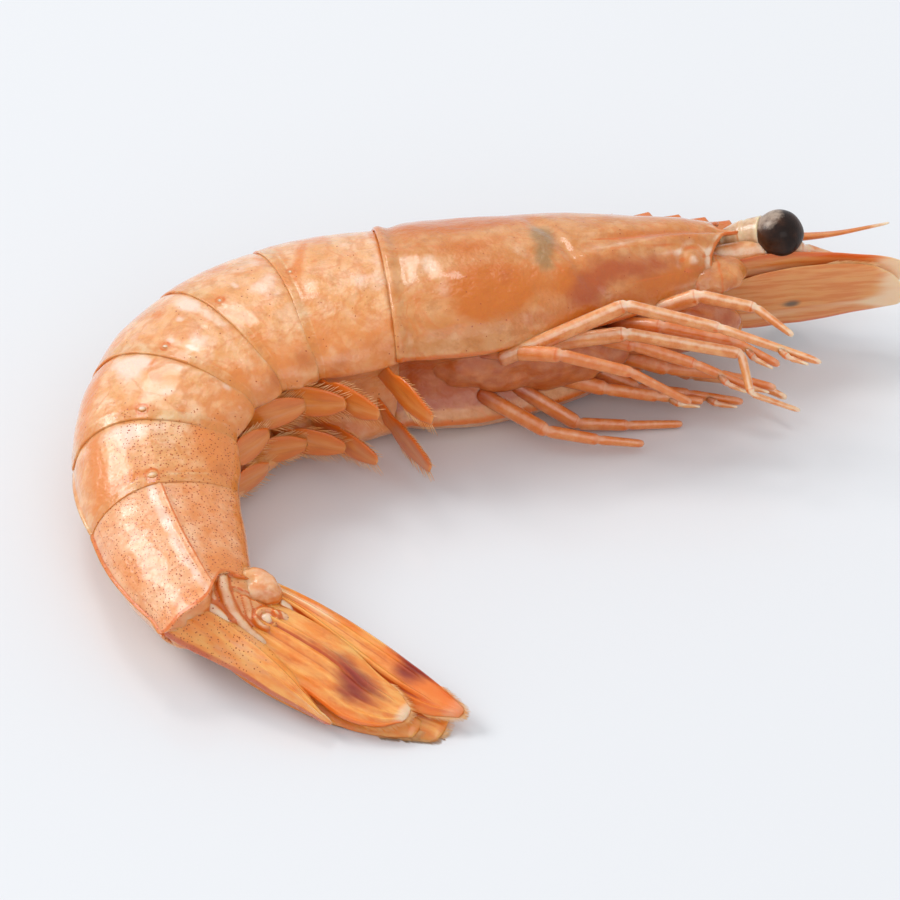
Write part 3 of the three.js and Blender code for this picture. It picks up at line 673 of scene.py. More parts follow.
SWIMMERET_BLADE = WetChitin(
    name="wet_swimmeret_blade", base="#df8129", cloud="#e89848", cloud_mm=0.9, streak=0.15,
    mottle=0.5, mottle_colour="#bf5d1c", mottle_mm=0.7,
    layers=(
        Layer(PALE, "#f0bc8c", grain=0.7, ragged=0.7),
        Layer(WARM, "#dc6a14", grain=0.8, ragged=0.6),
        Layer(LINE, "#cc6420", grain=0.6, ragged=0.2, low=0.4, high=0.8),
    ),
    bump_mm=0.6, bump=0.05, grain=0.012,
)
STALK_SKIN = WetChitin(
    name="wet_eyestalk_skin", base="#c4946a", cloud="#dcb48e", cloud_mm=0.9,
    layers=(
        Layer(PALE, "#ecd0a8", grain=0.9, ragged=0.6, high=1.2, strength=0.8),
        Layer(DARK, "#a97a50", grain=0.6, high=0.9, strength=0.35),
        Layer(LINE, "#dd8a48", grain=0.8, ragged=0.4, low=0.35, high=0.8),
    ),
    bump_mm=0.6, bump=0.04, grain=0.01,
)
BRISTLE = WetChitin(
    name="wet_bristle", base="#e8974a", cloud="#f4be84", cloud_mm=1.5,
    layers=(),
    glow=0.1, coat=0.2, bump=0.01, grain=0.004,
)


def set_piece(name: str, mesh: Skin, finish: Finish, replaces: Sequence[str] = ()) -> None:
    """Turns a finished mesh into a piece of the part, in place and in metres.

    Args:
        name: The piece's name.
        mesh: Its mesh in millimetres, which is freed.
        finish: Its finish.
        replaces: The CAD nodes that it stands for.
    """
    placed = Matrix.Scale(MM, 4) @ Matrix.Translation(PLAN_SHIFT)
    bmesh.ops.transform(mesh, matrix=placed, verts=mesh.verts)
    data = bpy.data.meshes.new(name)
    mesh.to_mesh(data)
    mesh.free()
    data.polygons.foreach_set("use_smooth", [True] * len(data.polygons))
    data.materials.append(bpy.data.materials.get(finish.name) or finish.material())
    piece = bpy.data.objects.new(name, data)
    bpy.context.scene.collection.objects.link(piece)
    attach(piece, "root")
    if replaces:
        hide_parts(*replaces)
    LOG.info("%s: %d faces", name, len(data.polygons))


# The abdomen: six plates and the beads of their hinges.


@dataclass(frozen=True)
class Section:
    """The body's outline across its length."""

    dorsal: float
    ventral: float
    half: float
    mid: float = 0.0
    keel: float = 0.0
    skirt: float = 0.52
    hollow: float = 0.8

    def point(self, angle: float) -> tuple[float, float]:
        """A point of the outline.

        Args:
            angle: From the middle of the back (0) to the middle of the belly (180), in degrees.

        Returns:
            How far it is towards the back, and towards the right.
        """
        edge = 150.0
        turn, side = abs(angle), math.copysign(1.0, angle)
        if turn <= 90:
            wide = math.sin(math.radians(turn)) ** (0.9 + 0.5 * self.keel)
            back = self.mid + (self.dorsal - self.mid) * math.cos(math.radians(turn))
            return back, side * self.half * wide
        if turn <= edge:
            share = (turn - 90) / (edge - 90)
            down = math.sin(share * math.pi / 2)
            wide = 1 - (1 - self.skirt) * share * share
            return self.mid - (self.ventral + self.mid) * down, side * self.half * wide
        share = (turn - edge) / (180 - edge)
        reach = lerp(1, self.hollow, math.sin(share * math.pi / 2))
        return self.mid - (self.ventral + self.mid) * reach, side * self.half * self.skirt * (1 - share)


@dataclass(frozen=True)
class Joint:
    """A joint of the abdomen, and the plate before it."""

    heading: float
    length: float
    dorsal: float
    ventral: float
    half: float
    roll: float
    lift: float = 0.0


FIRST_JOINT = (-5.4, 9.4)
JOINTS = (
    Joint(186, 0, 10.4, 9.4, 8.7, 8), Joint(199.5, 10.5, 10.6, 10.0, 8.4, 6),
    Joint(218.5, 7.6, 10.3, 10.0, 8.1, 3), Joint(243, 7.5, 9.1, 9.3, 7.6, 0),
    Joint(267, 7.6, 7.8, 8.3, 6.8, 0), Joint(285, 7.6, 6.8, 7.8, 5.8, 5),
    Joint(297, 13.9, 5.4, 4.8, 4.2, 10, lift=1.5),
)
LAST_PLATE = len(JOINTS) - 1
REST_FLAT = 0.3
LIP_REACH = 1.0


def lying(heading: float, outward: float, roll: float) -> tuple[Vector, Vector, Vector]:
    """Directions of something that lies on the table.

    Args:
        heading: The compass direction in which it lies, in radians.
        outward: The direction in which its back faces before it is rolled.
        roll: How far its back is tipped up.

    Returns:
        The directions along it, towards its back and towards its right side.
    """
    level = Vector((math.cos(outward), math.sin(outward), 0))
    up = Vector((0, 0, 1))
    back = level * math.cos(roll) + up * math.sin(roll)
    side = up * math.cos(roll) - level * math.sin(roll)
    return Vector((math.cos(heading), math.sin(heading), 0)), back, side


def on_arc(place: tuple[float, float], number: int, turned: float) -> tuple[float, float]:
    """Where the side line is after turning along a plate's arc to a heading in radians.

    Args:
        place: Where the plate's front joint is.
        number: The plate.
        turned: The heading in radians.

    Returns:
        Its place.
    """
    before = math.radians(JOINTS[number - 1].heading)
    radius = JOINTS[number].length / (math.radians(JOINTS[number].heading) - before)
    x = place[0] + radius * (math.sin(turned) - math.sin(before))
    return x, place[1] - radius * (math.cos(turned) - math.cos(before))


@lru_cache(maxsize=None)
def joint_place(number: int) -> tuple[float, float]:
    """Where a joint lies on the floor plan: the side line is a chain of arcs."""
    turned = math.radians(JOINTS[number].heading)
    return on_arc(joint_place(number - 1), number, turned) if number else FIRST_JOINT


@lru_cache(maxsize=None)
def abdomen_at(number: int, share: float) -> tuple[Frame, Section]:
    """The abdomen's frame and outline along one of its plates.

    Args:
        number: The plate, from 1 to 6.
        share: How far along it, from 0 to 1.

    Returns:
        The frame and the outline.
    """
    before, after = JOINTS[number - 1], JOINTS[number]
    mixed = {key: lerp(getattr(before, key), getattr(after, key), share) for key in vars(after)}
    heading = math.radians(mixed["heading"])
    along, back, side = lying(heading, heading - math.pi / 2, math.radians(mixed["roll"]))
    keel = clamp(number + 1 - LAST_PLATE + share)
    section = Section(mixed["dorsal"], mixed["ventral"], mixed["half"], keel=keel)
    resting = 26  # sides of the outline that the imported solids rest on
    heights = []
    for n in range(resting):
        up, out = section.point(-180 + 360 * (n + 1) / resting)
        heights.append(back.z * up + side.z * out)
    x, y = on_arc(joint_place(number - 1), number, heading)
    origin = Vector((x, y, mixed["lift"] - min(heights) - REST_FLAT))
    return Frame(origin, along, back, side), section


@dataclass(frozen=True)
class Station:
    """One ring of a plate: its own frame, or the next plate's for a share beyond 1."""

    share: float
    scale: float
    shift: float = 0.0
    lip: float = 0.0  # how far out on the lip it lies, as a share of the lip's reach


@dataclass
class Knob:
    """A glassy bead of a hinge between two plates."""

    joint: int
    angle: float
    radius: float

    def frame(self, hand: Hand) -> Frame:
        """Its place on the shell, with the direction out of the shell as its back.

        Args:
            hand: The side of the prawn.

        Returns:
            The frame.
        """
        frame, section = abdomen_at(self.joint, 1.0)
        up, out = section.point(self.angle * hand.value)
        step_up, step_out = section.point((self.angle + 1) * hand.value)
        round_the_body = (frame.back * (step_up - up) + frame.side * (step_out - out)).normalized()
        outward = frame.along.cross(round_the_body).normalized()
        if outward.dot(frame.back * up + frame.side * out) < 0:
            outward = -outward
        point = frame.at(0, up, out)
        return Frame(point, frame.along, outward, round_the_body)


@dataclass
class Abdomen:
    """The six overlapping plates and the beads of their hinges."""

    sides: int = 176
    thickness: float = 0.24
    knobs: tuple[Knob, ...] = (
        Knob(1, 82, 0.2), Knob(2, 84, 0.22), Knob(3, 84, 0.28), Knob(4, 84, 0.4), Knob(5, 83, 0.48),
    )
    hinge_turn: float = 84.0
    rear: Table = (  # how far the last plate's wavy edge runs out at each angle round the body
        (0, 1.9), (20, 2.6), (42, 2.6), (58, 2.8), (74, 2.5), (88, 1.2), (102, -0.3), (118, 0.5),
        (140, 0.6), (160, 0.2), (180, 0.1),
    )
    spots: tuple[tuple[Patch, ...], ...] = (  # of the first five plates; the narrow PALE patches, a few degrees wide, are painted glints
        patches(
            (WARM, (0.61, 50, 0.07, 9, 1.1), (0.14, 52, 0.06, 12, 1.1),
             (0.12, 76, 0.05, 16, 0.8), (0.82, 66, 0.06, 20, 0.9, 0.006)),
            (PALE, (0.4, 96, 0.14, 9, 0.6), (0.42, 66, 0.1, 8, 0.5)),
        ),
        patches(
            (WARM, (0.64, 48, 0.12, 9, 1.1), (0.2, 60, 0.08, 9, 0.7)),
            (PALE, (0.47, 88, 0.14, 8, 0.75), (0.5, 64, 0.16, 6, 0.55), (0.7, 78, 0.06, 4, 0.8)),
            (DARK, (0.5, 128, 0.25, 10, 0.3)),
        ),
        patches(
            (WARM, (0.5, 27, 0.2, 10, 0.9), (0.55, 60, 0.08, 5, 1.0)),
            (PALE, (0.3, 70, 0.14, 9, 0.7), (0.9, 57, 0.12, 8, 0.6), (0.7, 97, 0.2, 7, 0.7),
             (0.89, 96, 0.05, 3, 0.9), (0.89, 84, 0.06, 3, 0.9), (0.53, 78, 0.06, 4, 0.8)),
            (DARK, (0.22, 135, 0.2, 9, 0.7)),
        ),
        patches(
            (WARM, (0.35, 34, 0.4, 9, 1.1), (0.25, 82, 0.1, 3, 0.9, -0.02)),
            (PALE, (0.4, 68, 0.2, 12, 1.05), (0.65, 95, 0.16, 6, 0.6),
             (0.28, 120, 0.07, 3, 1.2), (0.55, 133, 0.05, 2.5, 1.0)),
        ),
        patches(
            (WARM, (0.6, 42, 0.4, 7, 1.1), (0.93, 62, 0.07, 18, 0.9), (0.5, 120, 0.5, 14, 0.6)),
            (PALE, (0.45, 72, 0.25, 12, 0.65), (0.25, 126, 0.06, 3, 1.2),
             (0.47, 141, 0.07, 3, 1.1)),
            (LINE, (0.8, 96, 0.03, 14, 0.6, -0.004)),
        ),
    )

    def stations(self, number: int) -> list[Station]:
        """Lists the rings of a plate from its covered front to the hollow behind its lip.

        Args:
            number: The plate, from 1 to 6.

        Returns:
            The rings, from front to rear.
        """
        length = JOINTS[number].length
        rings = [Station(0, 0.34, -0.9), Station(0, 0.66, -0.5), Station(0, 0.89, 0.3)]
        rings.append(Station(0.55 / length, 0.93))
        count = round(length * 5.2)
        for n in range(count + 1):
            share = lerp(0.9 / length, 1.0, n / count)
            far = share * length
            scale = 0.97 + 0.02 * ease(far, 0.9, 1.7) + 0.01 * ease(share, 0.15, 0.45)
            scale += 0.01 * hump(share, 0.75, 0.2)
            rings.append(Station(share, scale))
        inner = 1 - self.thickness / JOINTS[number].half
        rings += [Station(1, 1, lip=lip) for lip in (0.12, 0.24, 0.36, 0.48, 0.6, 0.72, 0.84, 0.93, 1.0)]
        rings.append(Station(1, 0.996, lip=1.04))
        rings.append(Station(1, (0.998 + inner) / 2, lip=1.06))
        rings.append(Station(1, inner, lip=1.03))
        if number == LAST_PLATE:
            rings += [Station(1, inner - 0.01, lip=0.9), Station(1, 0.9, lip=0.72)]
            cap = ((0.82, 0.2, 0.7), (0.7, 0.4, 0.68), (0.5, 0.6, 0.64), (0.25, 0.8, 0.6))
            rings += [Station(1, *row) for row in cap]
        else:
            rings += [Station(1, inner, lip=0.5), Station(1, inner - 0.01, lip=0.0)]
            rings += [Station(1, 0.66, -0.9), Station(1, 0.34, -1.4)]
        return rings

    def reach(self, number: int, angle: float) -> float:
        """How far a plate's lip runs out beyond its joint, in millimetres.

        Args:
            number: The plate, from 1 to 6.
            angle: From the middle of the back, in degrees.

        Returns:
            Millimetres.
        """
        turn = abs(angle)
        if number < LAST_PLATE:
            return LIP_REACH * (1 + 0.7 * hump(turn, 128, 20))
        under = 1 - 0.85 * ease(-angle, 4, 30)  # the side that lies on the table ends sooner
        return under * through(self.rear, turn)[0]

    def place(self, number: int, station: Station, angle: float) -> Vector:
        """A point of a plate's skin.

        Args:
            number: The plate.
            station: Its ring.
            angle: Round the body from the middle of the back.

        Returns:
            The point in the prawn's plan.
        """
        last = number == LAST_PLATE
        reach = station.lip * self.reach(number, angle)
        shift = station.shift
        if station.lip > 0 and not last:
            share = round(reach / JOINTS[number + 1].length, 3)
            frame, section = abdomen_at(number + 1, share)
        else:
            frame, section = abdomen_at(number, round(station.share, 5))
            shift += reach
        up, out = section.point(angle)
        outer = station.scale > 0.94
        swell = math.sin(math.pi * clamp(station.share)) if outer and station.lip == 0 else 0.0
        if abs(angle) > 90:
            up *= 1 + 0.05 * swell
        elif last:
            up *= 1 + 0.07 * swell
        point = frame.at(shift, up * station.scale, out * station.scale)
        if outer:
            radial = frame.back * up + frame.side * out
            point += radial.normalized() * self.relief(number, station, angle, point)
        return pressed(point)

    def relief(self, number: int, station: Station, angle: float, point: Vector) -> float:
        """How far a plate's skin stands out from its plain outline, in millimetres.

        Args:
            number: The plate, from 1 to 6.
            station: The ring.
            angle: From the middle of the back, in degrees.
            point: The point there.

        Returns:
            Millimetres.
        """
        turn = abs(angle)
        height = 0.1 * uneven(point, 4.5) + 0.04 * uneven(point, 1.7, 3)
        if number >= 4:
            height += 0.3 * hump(turn, 0, 2.6) * ease(number + station.share, 4.4, 5.6)
        if number == LAST_PLATE:
            height += 0.2 * hump(turn, 87, 2.4) * ease(station.share, 0.02, 0.15)
        return height

    def paint(self, number: int, station: Station, angle: float, point: Vector) -> Paint:
        """The marks on a plate's skin: its colours, painted glints, and partly painted shade towards the
        belly.

        Args:
            number: The plate, from 1 to 6.
            station: The ring.
            angle: From the middle of the back, in degrees.
            point: The point there.

        Returns:
            The marks there.
        """
        turn, share = abs(angle), station.share
        length = JOINTS[number].length
        along = share * length + station.lip * self.reach(number, angle)
        if station.scale < 0.92:
            fold = 0.5 + uneven(point, 0.9, 8)
            return {WARM: 0.6, PALE: 0.35 * fold, LINE: ease(-uneven(point, 1.1, 4), 0.0, 0.4)}
        if number == LAST_PLATE:
            return self.paint_last(along, turn, point)
        paint = painted(self.spots[number - 1], share, turn)
        # Warmer and darker towards the belly: partly the shell's own colour, partly painted shade.
        belly = ease(turn, 92, 128)
        added(paint, WARM, 0.12 + 0.6 * belly + 0.45 * hump(turn, 30, 22))
        hinge = 0.5 * hump(turn, self.hinge_turn, 9)
        added(paint, WARM, hinge * (hump(share, 0.97, 0.1) + hump(share, 0.02, 0.1)))
        added(paint, PALE, 0.5 * hump(along, 2.0, 0.9) * (1 - belly))
        added(paint, DARK, 0.55 * belly * (0.5 + uneven(point, 2.6, 5)))
        added(paint, LINE, 0.5 * hump(station.lip, 1.0, 0.12) + 0.4 * hump(turn, 146, 4))
        edge = max(ease(station.lip, 0.0, 0.4), hump(share, 1.0, 0.08) if station.lip == 0 else 0.0)
        added(paint, WARM, (0.28 + 0.4 * uneven(point, 2.0, 9)) * edge)
        paint[DOTS] = 0.03 + ease(number + share, 4.8, 5.3) * ease(turn, 50, 75)
        for knob in self.knobs:
            if knob.joint in (number, number - 1):
                gap = (point - knob.frame(Hand.RIGHT if angle > 0 else Hand.LEFT).origin).length
                added(paint, LINE, 0.8 * hump(gap, knob.radius + 0.2, 0.22))
        return paint

    def paint_last(self, along: float, turn: float, point: Vector) -> Paint:
        """The marks on the last plate.

        Args:
            along: Distance along it.
            turn: Degrees from the middle of the back to either side.
            point: The point there.

        Returns:
            The marks there.
        """
        length = JOINTS[LAST_PLATE].length
        rear = length + self.reach(LAST_PLATE, turn) - along
        line = max(
            hump(turn, 2, 5.5),
            0.6 * hump(turn, 20, 2.0),
            0.8 * hump(turn, 88, 1.6),
            0.95 * hump(rear, 0.1, 0.3),
            0.6 * hump(turn, 135, 2.5) * ease(along, 1, 3),
            0.8 * hump(turn, 147, 3.5),
        )
        warm = 0.2 + 0.5 * ease(turn, 88, 100) + 0.5 * hump(rear, 1.3, 1.0)
        warm += 0.6 * hump(along, 8, 3.0) * hump(turn, 26, 12)
        # The pale band beside the ridge is a painted highlight, with fewer dots under it.
        pale = 0.75 * hump(turn, 79, 6.0)
        dots = 1 - 0.4 * hump(turn, 79, 7)
        return {WARM: warm, PALE: pale, DOTS: dots, LINE: line}

    def plate(self, number: int) -> Skin:
        """Makes a plate's skin.

        Args:
            number: The plate, from 1 to 6.

        Returns:
            The skin.
        """
        rings = self.stations(number)
        rear = 2.6 if number == LAST_PLATE else -1.6
        tips = (abdomen_at(number, 0)[0].at(-1.3, 0, 0), abdomen_at(number, 1)[0].at(rear, 0, 0))

        def spot(ring: int, side: int) -> Spot:
            """Places a point of the plate.

            Args:
                ring: The point's ring.
                side: The point's place in the ring.

            Returns:
                Its place and its marks.
            """
            if ring in (0, len(rings) + 1):
                return tips[min(ring, 1)], {}
            angle = -180 + 360 * (side + 1) / self.sides
            point = self.place(number, rings[ring - 1], angle)
            return point, self.paint(number, rings[ring - 1], angle, point)

        return cast_skin(len(rings), self.sides, spot)

    def build(self) -> None:
        """Makes the plates and the beads."""
        for number in range(1, LAST_PLATE + 1):
            finish = LAST_PLATE_SHELL if number == LAST_PLATE else BODY_SHELL
            stands_for = [f"abdomen_plate_{number}"]
            set_piece(f"plate_{number}_shell", self.plate(number), finish, stands_for)
        beads = [self.bead(knob, hand) for hand in Hand for knob in self.knobs]
        set_piece("hinge_beads", join(beads), BODY_SHELL)

    def bead(self, knob: Knob, hand: Hand) -> Skin:
        """A hinge's bead: a drop of clear shell, half sunk.

        Args:
            knob: The bead's place and size.
            hand: The side of the prawn.

        Returns:
            The skin.
        """
        frame = knob.frame(hand)
        rings, sides = 12, 20

        def spot(ring: int, side: int) -> Spot:
            """Places a point of the bead.

            Args:
                ring: The point's ring.
                side: The point's place in the ring.

            Returns:
                Its place and its marks.
            """
            polar, turn = math.pi * ring / (rings + 1), math.tau * side / sides
            wide = knob.radius * math.sin(polar)
            rise = 0.5 * knob.radius * math.cos(polar) - 0.05
            point = frame.at(wide * math.cos(turn) * 0.8, rise, wide * math.sin(turn))
            paint = {LINE: hump(polar, math.pi / 2, 0.5), WARM: 0.3}
            # The bead's pale top is a painted highlight.
            paint[PALE] = 0.8 * ease(math.cos(polar), 0.5, 0.9)
            return pressed(point), paint

        return cast_skin(rings, sides, spot)


# The head: shield, eyes, feelers, mouth, legs, and the swimming blades behind it.

HEAD_HEADING, HEAD_ROLL, HEAD_HEIGHT = math.radians(8.5), math.radians(8.0), 8.7
HEAD = Frame(  # the head's own frame, with its origin at the first joint
    Vector((*FIRST_JOINT, HEAD_HEIGHT)), *lying(HEAD_HEADING, HEAD_HEADING + math.pi / 2, HEAD_ROLL)
)


@dataclass
class Shield:
    """The head shield with its crest and beak, in one skin each."""

    sides: int = 184
    step: float = 0.32
    table: Table = (
        (0.6, 10.3, -9.4, 8.8, 0.0), (2.4, 10.5, -9.6, 9.0, 0.0), (7, 10.5, -9.6, 9.0, 0.0),
        (12, 10.3, -8.9, 8.9, 0.3), (17, 10.0, -7.6, 8.5, 0.8), (22, 9.5, -6.0, 7.8, 1.4),
        (26.5, 8.9, -4.4, 7.0, 2.1), (30.5, 8.2, -2.7, 6.1, 2.7), (33, 7.6, -1.2, 5.3, 3.2),
    )
    crest: Table = (
        (12.4, 10.0, 9.2), (16, 10.55, 9.2), (20, 11.4, 9.0), (26, 12.0, 8.6), (31, 11.0, 7.6),
        (36, 9.5, 6.9), (40, 8.0, 6.5), (46, 7.3, 6.6), (52.3, 7.9, 7.6),
    )
    teeth: tuple[float, ...] = (19.5, 24.2, 28.0, 31.0, 33.6, 36.0)
    tooth_length: float = 2.4
    tooth_height: float = 0.7
    rear: float = -1.3
    margin: Table = (  # where the front edge lies at each angle round the head
        (0, 33.6), (44, 33.8), (62, 32.8), (76, 33.6), (84, 35.2), (92, 33.6), (104, 32.4), (118, 31.8),
        (130, 32.2), (141, 33.2), (152, 32.0), (180, 30.0),
    )
    ridge_turn: tuple[float, float] = (101.0, 92.0)
    knob_at: tuple[float, float] = (29.9, 113.0)  # distance forward and angle of the knob on the cheek
    spots: tuple[Patch, ...] = patches(
        (WARM, (6.5, 56, 7.0, 13, 1.2), (8.8, 112, 4.4, 15, 1.5), (7.0, 84, 4.0, 8, 0.6),
         (17.0, 112, 2.4, 12, 0.9), (20.0, 136, 6.0, 8, 0.9), (27.0, 124, 5.0, 8, 0.7),
         (27.0, 86, 7.0, 5, 0.8)),
        (PALE, (0.8, 92, 0.9, 34, 0.45), (3.0, 93, 1.3, 8, 0.75), (4.2, 108, 1.0, 7, 0.6),
         (18.6, 86, 2.2, 8, 0.35), (25.0, 76, 5.0, 6, 0.2), (12.4, 92, 1.6, 9, 0.5),
         (27.0, 103, 4.0, 3, 0.4, 0.1), (28.0, 134, 4.0, 4, 0.6)),
        (GREY, (14.9, 82, 1.5, 17, 1.1), (14.4, 100, 1.2, 8, 0.7), (29.5, 146, 4.0, 4, 0.7)),
        (DARK, (18.2, 123, 2.2, 10, 1.0), (21.0, 110, 4.0, 11, 0.85), (12.5, 130, 3.0, 9, 0.6),
         (26.5, 112, 3.4, 12, 0.7), (10.5, 104, 1.6, 7, 0.6)),
        (LINE, (26.0, 88, 6.0, 1.6, 0.8), (23.0, 97, 5.0, 1.6, 0.7), (25.0, 121, 5.0, 1.8, 0.6),
         (15.8, 104, 0.5, 12, 0.6, 0.1)),
    )

    def ridge(self, far: float) -> float:
        """Where the ridge on the side lies, as the angle round the head."""
        return lerp(*self.ridge_turn, ease(far, 17, 31))

    def from_knob(self, far: float, turn: float) -> float:
        """Distance from the knob on the cheek in millimetres, with 0.11 mm to a degree of turn."""
        return math.hypot(far - self.knob_at[0], (turn - self.knob_at[1]) * 0.11)

    def relief(self, far: float, turn: float, point: Vector) -> float:
        """How far the shield's skin stands out from its plain outline.

        Args:
            far: Distance from the first joint.
            turn: Degrees from the middle of the back to either side.
            point: The point there.

        Returns:
            Millimetres.
        """
        height = 0.13 * uneven(point, 4.2, 1) + 0.05 * uneven(point, 1.6, 4)
        height += 0.15 * hump(far, -0.9, 0.4) - 0.12 * hump(far, 0.1, 0.5)
        height += 0.35 * hump(turn, 112, 22) * ease(far, 2, 8) * (1 - ease(far, 20, 27))
        height += 0.3 * hump(turn, self.ridge(far), 4) * ease(far, 16, 19)
        height -= 0.25 * hump(turn, self.ridge(far) - 11, 7) * ease(far, 17, 21)
        groove = lerp(62, 128, ease(far, 13.5, 20.5))
        height -= 0.35 * hump(turn, groove, 9) * ease(far, 13, 15) * (1 - ease(far, 19.5, 22))
        height += 0.25 * hump(turn, 147, 3.5)
        height += 0.3 * hump(self.from_knob(far, turn), 0.0, 0.9)
        height -= 0.12 * hump(self.from_knob(far, turn), 1.4, 0.4)
        return height

    def paint(self, far: float, turn: float, point: Vector) -> Paint:
        """The marks on the shield: organs that show through it, its edges, a painted highlight on the cheek's
        knob, and painted shade on its belly.

        Args:
            far: Distance from the first joint.
            turn: Degrees from the middle of the back to either side.
            point: The point there.

        Returns:
            The marks there.
        """
        paint = painted(self.spots, far, turn)
        ahead = self.front(turn) - far
        streak = math.sin(turn * 0.55 + 1.6 * uneven(point, 3.0, 6))
        streak *= ease(far, 16, 22) * (1 - ease(turn, 108, 128))
        added(paint, PALE, 0.24 * max(0.0, streak))
        added(paint, LINE, 0.45 * max(0.0, -streak))
        added(paint, WARM, 0.15 + 0.25 * ease(far, 20, 28) + 0.35 * hump(turn, 40, 22))
        added(paint, PALE, 0.3 * hump(turn, self.ridge(far) - 4, 2.6) * ease(far, 17, 20))
        added(paint, PALE, 0.6 * hump(ahead, 0.45, 0.35) * (1 - ease(turn, 140, 150)))
        added(paint, LINE, 0.8 * hump(turn, 148, 3.5) + 0.8 * hump(ahead, 0.0, 0.22))
        added(paint, LINE, 0.3 * hump(far, -0.6, 0.25))
        # Dark on the shield's belly: painted shade.
        added(paint, DARK, 0.9 * ease(turn, 152, 158))
        # Pale on the cheek's knob and in a ring round it: painted highlight.
        away = self.from_knob(far, turn)
        added(paint, PALE, 0.5 * hump(away, 1.7, 0.3) + 0.9 * hump(away, 0.0, 0.6))
        added(paint, LINE, 0.5 * hump(away, 1.2, 0.25))
        paint[DOTS] = 0.03
        return paint

    def front(self, turn: float) -> float:
        """How far forward the shield's edge lies at an angle round the head."""
        return through(self.margin, turn)[0]

    def ring(self, far: float, angle: float, scale: float = 1.0) -> Vector:
        """A point of the shield's outline at a distance forward, scaled about its middle.

        Args:
            far: Distance from the first joint.
            angle: From the middle of the back, in degrees.
            scale: The ring's size, as a share of the shield's.

        Returns:
            The point.
        """
        back, belly, half, mid = through(self.table, max(far, self.table[0][0]))
        section = Section(back, -belly, half, mid=mid, skirt=0.5, hollow=0.72)
        up, out = section.point(angle)
        middle = mid / 2
        point = HEAD.at(far, middle + (up - middle) * scale, out * scale)
        if scale > 0.9:
            radial = HEAD.back * (up - middle) + HEAD.side * out
            point += radial.normalized() * self.relief(far, abs(angle), point)
        return pressed(point)

    def shell(self) -> Skin:
        """The shield from the cup at its rear to its open front edge, and the wall behind that.

        Returns:
            The skin.
        """
        first, wall = self.table[0][0], 26.5
        rows = [(0.0, 0.36, first + 1.6), (0.0, 0.68, first + 1.0), (0.0, 0.93, first), (0.0, 0.955, -0.6)]
        rows += [(0.0, 0.965, self.rear), (0.0, 0.985, self.rear - 0.08)]
        count = round((self.table[-1][0] - self.rear) / self.step)
        rows += [(n / count, 1.0, self.rear) for n in range(count + 1)]
        rows += [(1.0, 0.985, self.rear + 0.12), (1.0, 0.955, self.rear + 0.1), (1.0, 0.93, self.rear)]
        rows += [(0.96, 0.92, self.rear), (0.0, 0.9, wall), (0.0, 0.6, wall), (0.0, 0.3, wall)]

        def spot(ring: int, side: int) -> Spot:
            """Places a point of the shield.

            Args:
                ring: The point's ring.
                side: The point's place in the ring.

            Returns:
                Its place and its marks.
            """
            if ring == 0:
                return HEAD.at(first + 1.6, 0, 0), {}
            # The hidden wall and the inner rings, below 0.94 scale, are painted dark: painted shade inside
            # the hollow shield.
            if ring > len(rows):
                return HEAD.at(wall, self.table[-1][4], 0), {DARK: 0.8}
            share, scale, start = rows[ring - 1]
            angle = -180 + 360 * (side + 1) / self.sides
            far = start + share * (self.front(abs(angle)) - self.rear)
            point = self.ring(far, angle, scale)
            if scale < 0.94:
                return point, {DARK: 0.8, WARM: 0.5}
            return point, self.paint(far, abs(angle), point)

        return cast_skin(len(rows), self.sides, spot)

    def top(self, far: float) -> float:
        """Height of the crest's toothed edge.

        Args:
            far: Distance from the first joint.

        Returns:
            Millimetres.
        """
        height = through(self.crest, far)[0]
        for tip in self.teeth:
            share = (far - tip + self.tooth_length) / self.tooth_length
            if 0 < share <= 1:
                height += self.tooth_height * share**1.5
            elif 1 < share < 1.12:
                height += self.tooth_height * (1.12 - share) / 0.12 - 0.05
        return height

    def blade(self) -> Skin:
        """The crest and beak: a thin blade that flares where it leaves the shield.

        Returns:
            The skin.
        """
        start, end = self.crest[0][0], self.crest[-1][0]
        count, sides = 300, 28

        def spot(ring: int, side: int) -> Spot:
            """Places a point of the blade.

            Args:
                ring: The point's ring.
                side: The point's place in the ring.

            Returns:
                Its place and its marks.
            """
            far = lerp(start, end, ring / (count + 1))
            high, low = self.top(far), through(self.crest, far)[1]
            if ring in (0, count + 1):
                return HEAD.at(far, (high + low) / 2, 0), {WARM: 0.6}
            turn = math.tau * side / sides
            up = (1 - math.cos(turn)) / 2
            height = lerp(low, high, up)
            taper = clamp((end + 1 - far) / 16, 0.3, 1)
            edge = math.sqrt(max(0.0, 1 - (2 * up - 1) ** 4))
            wide = (0.1 + 0.55 * (1 - up)) * edge * taper
            wide += 0.9 * hump(height, low + 0.35 * (high - low), 0.5) * (1 - ease(far, 30, 35)) * edge
            closing = math.sqrt(clamp((far - start) / 1.5)) * math.sqrt(clamp((end - far) / 1.0))
            out = math.copysign(wide * closing, math.sin(turn))
            warm = 0.55 + 0.4 * up - 0.5 * ease(far, 49, 52)
            tooth = max(hump(far, tip - 0.5, 0.8) for tip in self.teeth)
            paint = {WARM: warm, LINE: 0.75 * up * tooth + 0.5 * ease(far, 38, 41) * up}
            paint[PALE] = ease(far, 49, 52) + 0.5 * (1 - up) * (1 - ease(far, 34, 38))
            return HEAD.at(far, height, out), paint

        return cast_skin(count, sides, spot)

    def build(self) -> None:
        """Makes the shield with its crest and beak."""
        mesh = join([self.shell(), self.blade()])
        set_piece("head_shield", mesh, HEAD_SHELL, ["carapace"])


